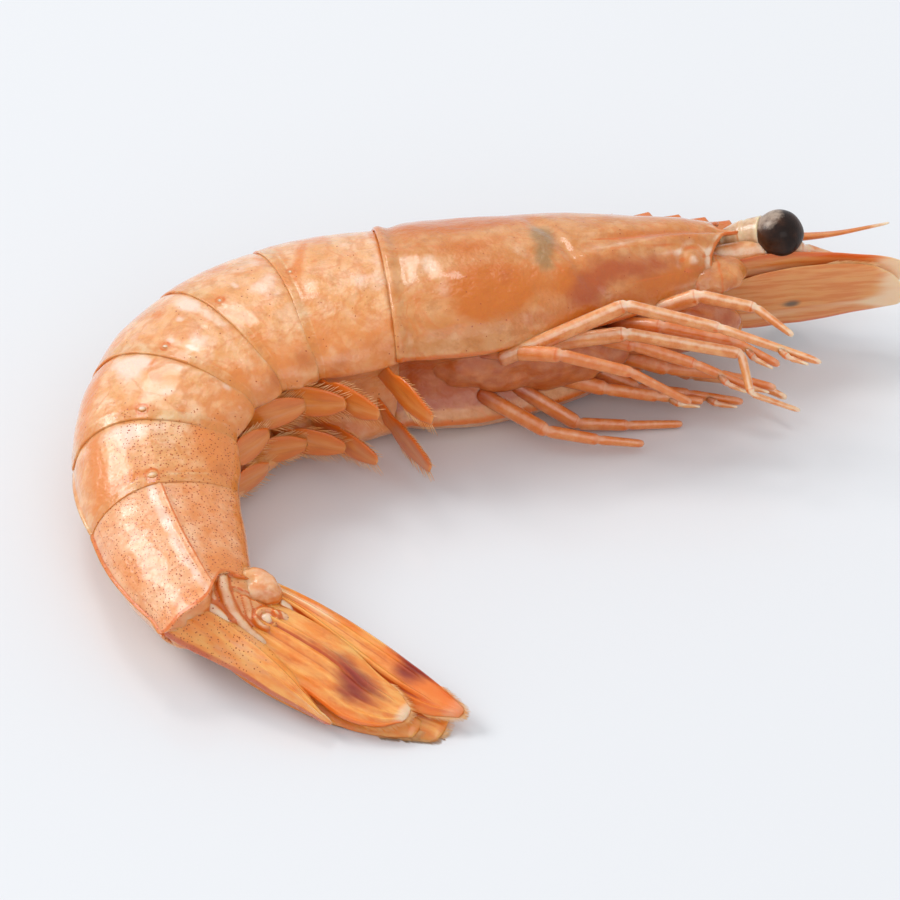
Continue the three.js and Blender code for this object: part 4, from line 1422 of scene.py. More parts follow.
@dataclass
class Ball:
    """A rounded body part with swellings on it."""

    frame: Frame
    radii: Triple
    rings: int = 40
    sides: int = 56
    lumps: float = 0.0  # mm
    lump_size: float = 2.0
    paint: Callable[[Vector], Paint] = field(default=lambda unit: {})

    def spot(self, ring: int, side: int) -> Spot:
        """Places a point of the ball.

        Args:
            ring: The point's ring.
            side: The point's place in the ring.

        Returns:
            Its place and its marks.
        """
        polar, turn = math.pi * ring / (self.rings + 1), math.tau * side / self.sides
        wide = math.sin(polar)
        unit = Vector((math.cos(polar), wide * math.cos(turn), wide * math.sin(turn)))
        point = self.frame.at(*(unit[n] * self.radii[n] for n in range(3)))
        out = (point - self.frame.origin).normalized()
        return pressed(point + out * self.lumps * uneven(point, self.lump_size)), self.paint(unit)

    def build(self) -> Skin:
        """Makes its skin."""
        return cast_skin(self.rings, self.sides, self.spot)


@dataclass
class Chain:
    """A jointed limb: a tube along a chain of points, thicker just before each joint than after it."""

    points: list[Vector]
    radii: tuple[float, ...]
    sides: int = 20
    per_mm: float = 4.0
    round_off: float = 0.45  # mm over which a knee is rounded
    tail: float = 0.15  # how far it runs beyond its last point, as a share of the last stretch
    flat: float = 0.85
    # Above 0 warmer and darker: painted shade on the legs in shadow; below 0 the paler tone of the eyestalk
    # and antennule.
    hue: float = 0.0
    waist: float = 0.22
    steps: tuple[float, float] = (0.88, 1.06)  # how thick it is after and before each joint

    def __post_init__(self) -> None:
        """Measures the chain."""
        end = self.points[-1] + (self.points[-1] - self.points[-2]) * self.tail
        self.points = [*self.points[:-1], end]
        self.reaches = [0.0]
        for a, b in zip(self.points, self.points[1:]):
            self.reaches.append(self.reaches[-1] + (b - a).length)
        self.stops: list[tuple[float, float]] = []
        for n in range(len(self.points) - 1):
            start, stretch = self.reaches[n], self.reaches[n + 1] - self.reaches[n]
            far = 0.93 if n + 2 < len(self.points) else 0.93 / (1 + self.tail)
            self.stops.append((start + 0.05 * stretch, self.steps[0] * self.radii[n]))
            self.stops.append((start + far * stretch, self.steps[1] * self.radii[n + 1]))

    def along(self, reach: float) -> Vector:
        """The chain's own corner-cut line at a distance from its start.

        Args:
            reach: Distance from its start.

        Returns:
            The point.
        """
        total = Vector()
        for shift in (-1.0, -0.5, 0.0, 0.5, 1.0):
            spot = clamp(reach + shift * self.round_off, 0.0, self.reaches[-1])
            n = max(1, next(i for i, r in enumerate(self.reaches) if r >= spot - 1e-9))
            share = (spot - self.reaches[n - 1]) / (self.reaches[n] - self.reaches[n - 1])
            total += self.points[n - 1].lerp(self.points[n], share)
        return total / 5

    def radius(self, reach: float) -> float:
        """The limb's radius there, with a soft waist at each joint.

        Args:
            reach: Distance from its start.

        Returns:
            Millimetres.
        """
        spans = list(zip(self.stops, self.stops[1:]))
        before, after = next((span for span in spans if reach <= span[1][0]), spans[-1])
        wide = lerp(before[1], after[1], clamp((reach - before[0]) / (after[0] - before[0])))
        for joint in self.reaches[1:-1]:
            wide *= 1 - self.waist * hump(reach, joint + 0.1, 0.2)
        end, pointed = self.reaches[-1], self.stops[-1][0]
        if reach > pointed:
            wide *= (1 - ((reach - pointed) / (end - pointed)) ** 2) ** 0.5 if reach < end else 0.0
        return wide * math.sqrt(clamp(reach / 0.6)) if reach > 0 else 0.0

    def build(self) -> Skin:
        """Makes its skin.

        Returns:
            The skin.
        """
        end = self.reaches[-1]
        count = max(12, round(end * self.per_mm))
        across = Vector((0, 0, 1))
        frames = []
        for ring in range(count + 2):
            reach = end * ring / (count + 1)
            here = self.along(reach)
            ahead = self.along(min(end, reach + 0.1)) - self.along(max(0.0, reach - 0.1))
            along = ahead.normalized()
            across = (across - along * across.dot(along)).normalized()
            frames.append(Frame(here, along, across, along.cross(across)))

        def spot(ring: int, side: int) -> Spot:
            """Places a point of the limb.

            Args:
                ring: The point's ring.
                side: The point's place in the ring.

            Returns:
                Its place and its marks.
            """
            reach = end * ring / (count + 1)
            turn = math.tau * side / self.sides
            wide = self.radius(reach)
            point = frames[ring].at(0, wide * math.cos(turn), wide * math.sin(turn) * self.flat)
            near = max((hump(reach, joint, 0.45) for joint in self.reaches[1:-1]), default=0.0)
            rim = max((hump(reach, joint - 0.35, 0.2) for joint in self.reaches[1:-1]), default=0.0)
            # PALE along one side of the limb is a painted highlight; the paler joints and tip are the limb's
            # own colour.
            ridge = hump(math.cos(turn), 0.75, 0.3)
            paint = {PALE: 0.75 * ridge + 0.5 * near + 0.9 * ease(reach, end - 1.2, end)}
            paint[WARM] = 0.3 + self.hue
            paint[LINE] = 0.65 * rim + 0.6 * hump(math.cos(turn), -0.1, 0.14)
            paint[DARK] = 0.7 * (1 - ease(reach, 0.0, 5.0)) + self.hue * 0.6
            return pressed(point), paint

        return cast_skin(count, self.sides, spot)


@dataclass
class Ridge:
    """A raised rib along a blade."""

    across: float  # from -1 at its inner edge to 1 at its outer edge
    height: float
    width: float = 0.12
    end: float = 1.0
    veer: float = 0.0


@dataclass
class Blade:
    """A flat blade such as a fin, with ribs, painted marks and a fringe of bristles."""

    frame: Frame  # along it, up from it, and across it
    rows: Table  # distance along, inner edge, outer edge, height, curl of the edges
    rib: float
    rim: float
    tip: float
    ridges: tuple[Ridge, ...] = ()
    paint: Callable[[float, float], Paint] = field(default=lambda along, across: {})
    sides: int = 112
    per_mm: float = 4.0
    wave: float = 0.08  # mm

    def row(self, along: float) -> list[float]:
        """Inner edge, outer edge, height and curl at a distance along it.

        Args:
            along: Distance along it.

        Returns:
            The four values.
        """
        start, end = self.rows[0][0], self.rows[-1][0]
        values = through(self.rows, clamp(along, start, end))
        beyond = max((along - end) / self.tip, (start - along) / 0.2, 0.0)
        closing = math.sqrt(max(0.0, 1 - min(1.0, beyond) ** 2))
        middle = (values[0] + values[1]) / 2
        return [lerp(middle, values[0], closing), lerp(middle, values[1], closing), *values[2:]]

    def surface(self, along: float, across: float, upper: float) -> Vector:
        """A point of the blade.

        Args:
            along: Distance along it.
            across: From -1 at its inner edge to 1 at its outer edge.
            upper: 1 for its upper face, -1 for its lower one.

        Returns:
            The point in the prawn's plan.
        """
        inner, outer, lift, curl = self.row(along)
        start, end = self.rows[0][0], self.rows[-1][0] + self.tip
        share = clamp((along - start) / (end - start))
        edge = math.sqrt(max(0.0, 1 - across**8))
        close = min(1.0, math.sqrt(clamp((end - along) / 0.8)) + 0.02)
        height = self.rim * edge
        if upper > 0:
            height += (self.rib - self.rim) * (1 - abs(across)) ** 1.1
            for ridge in self.ridges:
                middle = ridge.across + ridge.veer * share
                there = ease(share, 0.0, 0.08) * (1 - ease(share, ridge.end - 0.1, ridge.end))
                height += ridge.height * hump(across, middle, ridge.width) * there
        side = lerp(inner, outer, (across + 1) / 2)
        point = self.frame.at(along, lift + curl * across * across, side)
        point += self.frame.back * (upper * height * close + self.wave * uneven(point, 2.4, 2))
        return pressed(point)

    def build(self) -> Skin:
        """Makes its skin.

        Returns:
            The skin.
        """
        start, end = self.rows[0][0] - 0.2, self.rows[-1][0] + self.tip
        count = round((end - start) * self.per_mm)

        def spot(ring: int, side: int) -> Spot:
            """Places a point of the blade.

            Args:
                ring: The point's ring.
                side: The point's place in the ring.

            Returns:
                Its place and its marks.
            """
            share = ring / (count + 1)
            along = lerp(start, end, share)
            turn = math.tau * side / self.sides
            across = math.cos(turn)
            if ring in (0, count + 1):
                across = 0.0
            point = self.surface(along, across, math.copysign(1.0, math.sin(turn + 1e-6)))
            inner, outer, *_ = self.row(along)
            paint = {ALONG: along, ACROSS: lerp(inner, outer, (across + 1) / 2)}
            paint.update(self.paint(clamp((along - start) / (end - start)), across))
            return point, paint

        return cast_skin(count, self.sides, spot)

    def bristles(
        self, spots: Sequence[tuple[float, float]], length: float, lean: float, rng: random.Random
    ) -> Skin:
        """Fine bristles that stand out from the blade's edge.

        Args:
            spots: Where each starts, as its distance along and its place across.
            length: Their length in millimetres.
            lean: How far they point along the blade rather than out from its edge, from 0 to 1.
            rng: Source of the seeded differences between them.

        Returns:
            One mesh of them all.
        """
        mesh = bmesh.new()
        for mark in Mark:
            mesh.verts.layers.float.new(mark.value)
        for along, across in spots:
            base = self.surface(along, across, 0.0)
            out = self.frame.side * math.copysign(1 - lean, across) * min(1.0, abs(across) * 1.4)
            way = out + self.frame.along * max(lean, 0.25)
            way += self.frame.back * rng.uniform(-0.08, 0.05) + self.frame.side * rng.uniform(-0.1, 0.1)
            way.normalize()
            size = length * rng.uniform(0.75, 1.1)
            turned = way.to_track_quat("Z", "Y").to_matrix().to_4x4()
            middle = pressed(base + way * size * 0.42)
            placed = Matrix.Translation(middle) @ turned
            wide = {"radius1": 0.055, "radius2": 0.015}  # mm, at its root and at its tip
            bmesh.ops.create_cone(mesh, cap_ends=True, segments=4, depth=size, matrix=placed, **wide)
        for vert in mesh.verts:
            vert.co = pressed(vert.co)
        return mesh


@dataclass
class HeadParts:
    """Eyes, feelers and mouthparts, each once on each side."""

    midline: float = -0.2
    eye_at: Triple = (39.8, 3.4, 4.6)
    eye_radii: Triple = (2.5, 2.5, 2.3)
    eye_stagger: float = 0.3
    stalk: Table = (
        (32.5, 5.2, 1.6, 1.0), (34.4, 5.2, 2.2, 1.2), (36.4, 4.6, 3.3, 1.7), (38.2, 3.9, 4.0, 1.9),
    )
    base_at: Triple = (31.2, -0.7, 3.9)
    base_radii: Triple = (4.3, 2.6, 1.2)
    antennule: Table = (
        (31.5, 2.4, 2.8, 1.5), (38, 2.5, 3.3, 1.5), (42, 2.7, 2.8, 1.1), (45.5, 2.8, 1.6, 0.45),
    )
    antennule_lean: float = 0.045
    maxilliped: Table = (
        (24.5, -4.6, 3.0, 0.9), (29.5, -5.4, 5.6, 0.85), (34.9, -7.4, 5.3, 0.6), (37.8, -10.6, 4.6, 0.35),
    )
    mouth_at: Triple = (26, -3.8, 0)
    mouth_radii: Triple = (8.5, 2.6, 3.4)
    breast_at: Triple = (12.5, -6.3, 0)
    breast_radii: Triple = (10.5, 2.4, 4.3)
    scale_rows: Table = (
        (32.6, -1.6, 3.9, 0, 0), (36.5, -2.9, 4.7, 0, 0.2), (40, -3.4, 4.7, 0, 0.3),
        (44, -3.6, 4.3, -0.1, 0.3), (48, -3.2, 3.6, -0.2, 0.3), (50.6, -1.9, 3.1, -0.3, 0.2),
        (51.8, -0.5, 2.7, -0.3, 0),
    )

    def paired(self, place: Sequence[float], hand: Hand, midline: float | None = None) -> Vector:
        """A point of a paired part."""
        middle = self.midline if midline is None else midline
        return HEAD.at(place[0], place[1], middle + hand.value * place[2])

    def build_eye(self, hand: Hand) -> None:
        """The eye, a slightly flattened ball, and the skin of its stalk.

        Args:
            hand: The side of the prawn.
        """
        far, up, out = self.eye_at
        centre = self.paired((far - hand.value * self.eye_stagger, up, out), hand)
        frame = replace(HEAD, origin=centre)

        def shade(unit: Vector) -> Paint:
            """Browner towards the stalk, with a painted highlight on the upper side."""
            tint_and_highlight = ease(unit.dot(Vector((-0.5, 0.35, 0.79 * hand.value))), 0.45, 1.0)
            return {PALE: 0.4 * ease(-unit.x, 0.3, 0.95), GREY: 0.8 * tint_and_highlight}

        ball = Ball(frame, self.eye_radii, 44, 64, lumps=0.08, lump_size=1.6, paint=shade)
        set_piece(f"eye_{hand.label}_cornea", ball.build(), Cornea(), [f"eye_{hand.label}"])
        points = [self.paired(row[:3], hand, 0.0) for row in self.stalk]
        radii = tuple(row[3] for row in self.stalk)
        stalk = Chain(points, radii, 32, 6, 1.0, 0.1, flat=1.0, hue=-0.3, waist=0.04, steps=(1.0, 1.0))
        name = f"eyestalk_{hand.label}"
        set_piece(f"{name}_skin", stalk.build(), STALK_SKIN, [name])

    def build_antenna(self, hand: Hand) -> None:
        """The antenna's base of glossy segments, and the scale that lies over it.

        Args:
            hand: The side of the prawn.
        """
        frame = replace(HEAD, origin=self.paired(self.base_at, hand))

        def shade(unit: Vector) -> Paint:
            """A painted highlight on the dome of each segment, orange in the seams between them."""
            dome = hump(unit.x, 0.0, 0.16) + hump(abs(unit.x), 0.55, 0.16)
            return {
                PALE: 0.4 * dome * ease(abs(unit.z), 0.3, 0.9),
                WARM: 0.4,
                DARK: 0.5,
                LINE: 0.7 * (hump(unit.x, -0.28, 0.07) + hump(unit.x, 0.3, 0.07)),
            }

        ball = Ball(frame, self.base_radii, 56, 64, lumps=0.3, lump_size=1.2, paint=shade)
        name = f"antenna_base_{hand.label}"
        set_piece(f"{name}_shell", ball.build(), HEAD_SHELL, [name])
        origin = HEAD.at(0, 0.6 + hand.value * 0.5, -1.1)
        across = HEAD.side * hand.value
        frame = Frame(origin, HEAD.along, HEAD.back, across)

        def streaks(share: float, side: float) -> Paint:
            """Orange outer edge, clear cream tip."""
            edge = ease(side, 0.8, 0.95)
            return {
                WARM: 0.4 + 0.6 * edge - 0.6 * ease(share, 0.75, 1),
                PALE: 0.9 * ease(share, 0.72, 0.98) + 0.6 * hump(side, 0.5, 0.22),
                DARK: 0.35 * hump(side, 0.0, 0.3) * (1 - ease(share, 0.3, 0.7))
                + 0.9 * hump(share, 0.42, 0.05) * hump(side, 0.2, 0.12),
                LINE: 0.45 * edge,
            }

        ribs = (Ridge(0.75, 0.16, 0.1), Ridge(0.1, 0.1, 0.08), Ridge(-0.35, 0.07, 0.06, end=0.9))
        blade = Blade(frame, self.scale_rows, 0.34, 0.16, 0.4, ribs, streaks)
        name = f"antenna_scale_{hand.label}"
        set_piece(f"{name}_blade", blade.build(), SCALE_BLADE, [name])
        rng = random.Random(11 + hand.value)
        spots = [(lerp(44, 51.9, n / 70), lerp(-1, 1, ease(n / 70, 0.55, 1.1))) for n in range(71)]
        set_piece(f"{name}_fringe", blade.bristles(spots, 0.9, 0.75, rng), BRISTLE)

    def build_feelers(self, hand: Hand) -> None:
        """The antennule under the beak, and the leg-like mouthpart.

        Args:
            hand: The side of the prawn.
        """
        points = []
        for row in self.antennule:
            bend = self.midline - self.antennule_lean * (row[0] - self.antennule[0][0])
            points.append(self.paired(row[:3], hand, bend))
        radii = tuple(row[3] for row in self.antennule)
        name = f"antennule_{hand.label}"
        mesh = Chain(points, radii, per_mm=5, hue=-0.2).build()
        set_piece(f"{name}_shell", mesh, LIMB_SHELL, [name])
        points = [self.paired(row[:3], hand, 0.0) for row in self.maxilliped]
        radii = tuple(row[3] for row in self.maxilliped)
        name = f"maxilliped_{hand.label}"
        set_piece(f"{name}_shell", Chain(points, radii).build(), LIMB_SHELL, [name])

    def build(self) -> None:
        """Makes the mouth and all paired parts."""
        frame = replace(HEAD, origin=HEAD.at(*self.mouth_at))

        def shade(unit: Vector) -> Paint:
            """Deep red-brown between the legs: painted shade."""
            return {WARM: 0.6, DARK: 0.7, PALE: 0.5 * hump(unit.z, 0.6, 0.2)}

        ball = Ball(frame, self.mouth_radii, 48, 48, lumps=0.3, lump_size=1.8, paint=shade)
        set_piece("head_base_skin", ball.build(), LIMB_SHELL, ["head_base"])
        frame = replace(HEAD, origin=HEAD.at(*self.breast_at))
        ball = Ball(frame, self.breast_radii, 56, 48, lumps=0.7, lump_size=2.2, paint=shade)
        set_piece("breast_between_legs", ball.build(), LIMB_SHELL)
        for hand in Hand:
            self.build_eye(hand)
            self.build_antenna(hand)
            self.build_feelers(hand)


LegPoints = tuple[Triple, ...]


@dataclass
class Legs:
    """The five pairs of walking legs; the first three pairs end in a claw."""

    radii: tuple[float, ...] = (1.0, 0.78, 0.6, 0.42, 0.28)
    clawed: int = 3
    finger_start: float = -3.4
    finger_knuckle: float = 1.4
    finger_length: float = 3.2
    finger_spread: float = 0.8
    finger_radii: tuple[float, ...] = (0.42, 0.4, 0.16)
    right: tuple[LegPoints, ...] = (
        ((20.5, -4.5, 2.0), (25.5, -7.6, 4.0), (32.5, -9.8, 3.2), (36.2, -12.2, 2.2)),
        ((17.5, -5.5, 2.0), (22.6, -8.6, 2.8), (28.4, -11.0, 1.8), (33.4, -13.2, 0.2)),
        ((8.6, -9.8, 3.6), (21.6, -7.9, 7.9), (30.5, -11.2, 6.9), (38.8, -15.2, 5.6)),
        ((10.5, -7, 2.2), (21.6, -8.9, 4.9), (32.6, -12.4, 4.2), (33, -16, 2.2), (37.5, -16.6, 0)),
        ((7, -7.5, 3.0), (14.6, -11.6, 5.6), (21.6, -12.6, 3.2), (27, -13.4, -0.6)),
    )
    left: tuple[LegPoints, ...] = (
        ((20.5, -4.5, -2.0), (26.5, -7.2, -2.6), (31.6, -8.4, -2.8), (36.4, -10.6, -3.0)),
        ((17.5, -5.5, -2.2), (23.5, -7.4, -5.0), (28.6, -8.4, -5.4), (33.4, -9.8, -5.6)),
        ((14, -6.5, -2.4), (20, -8.6, -3.2), (25.2, -9.4, -4.2), (29.4, -9.8, -5.0)),
        ((10.5, -7, -2.8), (17, -10.4, -6.0), (22, -10.9, -6.4), (27, -11.2, -6.6)),
        ((7, -7.5, -3.0), (13.4, -12.6, -4.2), (18.4, -13.8, -4.9), (22.6, -14.2, -5.6)),
    )

    def finger(self, before: Vector, tip: Vector) -> Skin:
        """The claw's movable finger, beside the last stretch of a leg.

        Args:
            before: The joint before the last stretch.
            tip: The leg's end.

        Returns:
            The skin.
        """
        way = (tip - before).normalized()
        aside = way.cross(HEAD.side).normalized()
        start = tip + way * self.finger_start
        knuckle = start + way * self.finger_knuckle + aside * self.finger_spread
        end = start + way * self.finger_length + aside * self.finger_spread
        return Chain([start, knuckle, end], self.finger_radii, sides=12, per_mm=6, tail=0.25).build()

    def build(self) -> None:
        """Makes the ten legs."""
        for hand, legs in ((Hand.RIGHT, self.right), (Hand.LEFT, self.left)):
            for number, places in enumerate(legs, 1):
                points = [HEAD.at(*place) for place in places]
                # Every leg but the two lit upper ones on the right is painted darker: painted shade.
                hue = 0.1 if number in (3, 4) and hand is Hand.RIGHT else 0.4
                skins = [Chain(list(points), self.radii, hue=hue).build()]
                if number <= self.clawed:
                    skins.append(self.finger(points[-2], points[-1]))
                name = f"walking_leg_{number}_{hand.label}"
                set_piece(f"{name}_shell", join(skins), LIMB_SHELL, [name])


@dataclass
class Swimmerets:
    """The flat swimming blades under the first five plates."""

    length: float = 12.0
    shrink: float = 0.075
    station: float = 0.35
    depth: float = 0.72
    spread: float = 2.6
    closing: float = 0.2
    lean: Triple = (0.8, 0.3, 0.1)  # towards the belly, forward, outward
    sweep: float = 0.07
    rows: Table = (
        (0, -0.9, 1.1, 0, 0), (0.25, -1.3, 1.4, 0, 0), (0.36, -1.1, 1.4, 0, 0), (0.5, -1.6, 1.9, 0.1, 0),
        (0.75, -1.3, 1.8, 0.3, 0), (0.93, -0.6, 1.1, 0.5, 0),
    )

    def frame(self, number: int, hand: Hand) -> Frame:
        """The frame of the swimmeret under a plate: it leans forward and outward from the belly.

        Args:
            number: The plate, from 1 to 6.
            hand: The side of the prawn.

        Returns:
            The frame.
        """
        frame, section = abdomen_at(number, self.station)
        belly, forward = -frame.back, -frame.along
        down, ahead, outward = self.lean
        along = belly * down + forward * (ahead + self.sweep * (number - 1))
        along = (along + frame.side * hand.value * outward).normalized()
        normal = (forward - along * forward.dot(along)).normalized()
        across = normal.cross(along) * hand.value
        out = hand.value * (self.spread - self.closing * (number - 1))
        origin = frame.origin + belly * section.ventral * self.depth + frame.side * out
        return Frame(origin, along, normal, across)

    def build(self) -> None:
        """Makes the ten blades with their fringes."""

        def stripe(share: float, side: float) -> Paint:
            """A pale stripe in an orange blade."""
            return {
                PALE: 0.5 * hump(side, 0.15, 0.3) * ease(share, 0.2, 0.6)
                + 0.4 * hump(share, 0.33, 0.03),
                WARM: 0.4 + 0.4 * abs(side),
                LINE: 0.4 * ease(abs(side), 0.8, 1),
            }

        for number in range(1, LAST_PLATE):
            size = self.length * (1 - self.shrink * number)
            rows = tuple((row[0] * size, *row[1:]) for row in self.rows)
            for hand in Hand:
                ribs = (Ridge(-0.3, 0.1, 0.1), Ridge(0.45, 0.08, 0.08))
                blade = Blade(self.frame(number, hand), rows, 0.55, 0.2, 0.4, ribs, stripe)
                name = f"swimmeret_{number}_{hand.label}"
                set_piece(f"{name}_blade", blade.build(), SWIMMERET_BLADE, [name])
                rng = random.Random(40 + number)
                spots = [(lerp(0.5, 0.96, n / 30) * size, (-1.0, 1.0)[n % 2]) for n in range(31)]
                fringe = blade.bristles(spots, 1.3, 0.6, rng)
                set_piece(f"{name}_fringe", fringe, BRISTLE)


# The tail fin.

FIN_X, FIN_Y, FIN_Z = -21, -31, 4.4
FIN_HEADING, FIN_PITCH, FIN_ROLL = -30.3, -9, 68


def fin_frame() -> Frame:
    """The tail fin's frame: along it, up from its back, and across it towards its right edge.

    Returns:
        The frame.
    """
    heading, pitch, roll = (math.radians(value) for value in (FIN_HEADING, FIN_PITCH, FIN_ROLL))
    flat = Vector((math.cos(heading), math.sin(heading), 0))
    along = flat * math.cos(pitch) + Vector((0, 0, 1)) * math.sin(pitch)
    out = Vector((math.sin(heading), -math.cos(heading), 0))
    up = out.cross(along).normalized()
    normal = out * math.cos(roll) + up * math.sin(roll)
    across = up * math.cos(roll) - out * math.sin(roll)
    return Frame(Vector((FIN_X, FIN_Y, FIN_Z)), along, normal, across)


FIN = fin_frame()


def fin_frame_ball(at: Sequence[float]) -> Frame:
    """A frame on the tail fin at a distance along it, across it and up from it."""
    return Frame(FIN.at(at[0], at[2], at[1]), FIN.along, FIN.side, FIN.back)


@dataclass(frozen=True)
class Fold:
    """A raised fold, or a crease for a height below 0, along a path on the tail fin."""

    path: tuple[tuple[float, float], ...]  # distance along the fin and across it
    width: float
    height: float
    pale: float = 0.5
    seam: float = 0.8

    def gap(self, along: float, across: float) -> float:
        """Distance from the fold's middle line, as a share of its half width.

        Args:
            along: Distance along it.
            across: Place across it.

        Returns:
            0 on the line, 1 at the fold's edge.
        """
        nearest = math.inf
        for a, b in zip(self.path, self.path[1:]):
            ahead, aside = b[0] - a[0], b[1] - a[1]
            share = clamp(((along - a[0]) * ahead + (across - a[1]) * aside) / (ahead**2 + aside**2))
            near = math.hypot(along - a[0] - share * ahead, across - a[1] - share * aside)
            nearest = min(nearest, near)
        return nearest / self.width


@dataclass
class FoldedSkin:
    """The wet skin between the last plate and the blades, with its folds and the joint's socket."""

    middle: tuple[float, float] = (0.4, 2.0)
    reach: tuple[float, float] = (5.6, 4.0)
    high: float = 3.7
    low: float = 1.75
    fall: float = 0.22  # how fast it drops towards its right side
    under: float = 1.4
    rings: int = 120
    sides: int = 160
    folds: tuple[Fold, ...] = (
        Fold(
            ((-2.2, 3.3), (-1.1, 1.9), (-0.1, 1.1), (1.2, 0.3), (2.9, -0.1), (5.8, -0.5)), 0.55, 0.45, 0.35
        ),
        Fold(((-2.0, -0.2), (0.9, -0.6)), 0.62, 0.4, pale=0.55),
        Fold(((-2.4, 1.2), (-1.4, 0.6)), 0.4, 0.3, pale=0.3),
        Fold(((0.9, 2.4), (2.2, 1.2), (5.4, 0.9)), 0.34, 0.22, pale=0.2),
        Fold(((3.9, 4.4), (5.6, 4.6)), 0.6, 0.35, pale=0.7),
        Fold(((4.0, 3.1), (6.0, 3.1)), 0.45, 0.3, pale=0.3),
        Fold(((-0.4, 2.6), (1.4, 3.0), (3.4, 3.6), (6.0, 3.8)), 0.22, -0.3, pale=0.0, seam=1.0),
    )
    socket: tuple[float, float] = (3.5, 1.95)
    socket_radius: float = 1.15

    def from_socket(self, along: float, across: float) -> float:
        """Distance from the middle of the socket, as a share of its radius."""
        return math.hypot(along - self.socket[0], across - self.socket[1]) / self.socket_radius

    def relief(self, along: float, across: float, point: Vector) -> float:
        """How far the folds and the socket stand out there.

        Args:
            along: Distance along it.
            across: Place across it.
            point: The point there.

        Returns:
            Millimetres.
        """
        height = 0.1 * uneven(point, 1.1, 7)
        for fold in self.folds:
            height += fold.height * math.sqrt(clamp(1 - fold.gap(along, across) ** 2))
        away = self.from_socket(along, across)
        return height + 0.4 * hump(away, 0.85, 0.2) + 0.45 * hump(away, 0.15, 0.35)

    def paint(self, along: float, across: float, point: Vector) -> Paint:
        """Milky folds with orange seams between them.

        Args:
            along: Distance along it.
            across: Place across it.
            point: The point there.

        Returns:
            The marks there.
        """
        paint = {WARM: 0.3 + 0.4 * uneven(point, 1.6, 3), DOTS: 0.3, PALE: 0.3}
        for fold in self.folds:
            gap = fold.gap(along, across)
            added(paint, PALE, fold.pale * (1 - ease(gap, 0.4, 0.9)))
            added(paint, LINE, 1.3 * fold.seam * hump(gap, 1.1, 0.3))
        away = self.from_socket(along, across)
        added(paint, PALE, 0.9 * hump(away, 0.1, 0.35))
        added(paint, LINE, 0.9 * hump(away, 1.15, 0.18) + 0.7 * hump(away, 0.55, 0.15))
        added(paint, DARK, 0.5 * hump(along, -2.6, 0.8) * hump(across, 3.4, 0.8))
        return paint

    def spot(self, ring: int, side: int) -> Spot:
        """Places a point of the skin.

        Args:
            ring: The point's ring.
            side: The point's place in the ring.

        Returns:
            Its place and its marks.
        """
        polar, turn = math.pi * ring / (self.rings + 1), math.tau * side / self.sides
        rise = math.sin(polar) * math.sin(turn)
        along = self.middle[0] + self.reach[0] * math.cos(polar)
        across = self.middle[1] + self.reach[1] * math.sin(polar) * math.cos(turn)
        if rise <= 0:
            return pressed(FIN.at(along, self.under * rise, across)), {WARM: 0.5}
        level = lerp(self.high, self.low, ease(along, -2.5, 4.0)) - self.fall * max(0.0, across - 2.0)
        flat = FIN.at(along, level, across)
        height = level * rise**0.45 + self.relief(along, across, flat) * ease(rise, 0.1, 0.35)
        return pressed(FIN.at(along, height, across)), self.paint(along, across, flat)

    def build(self) -> Skin:
        """Makes its skin."""
        return cast_skin(self.rings, self.sides, self.spot)


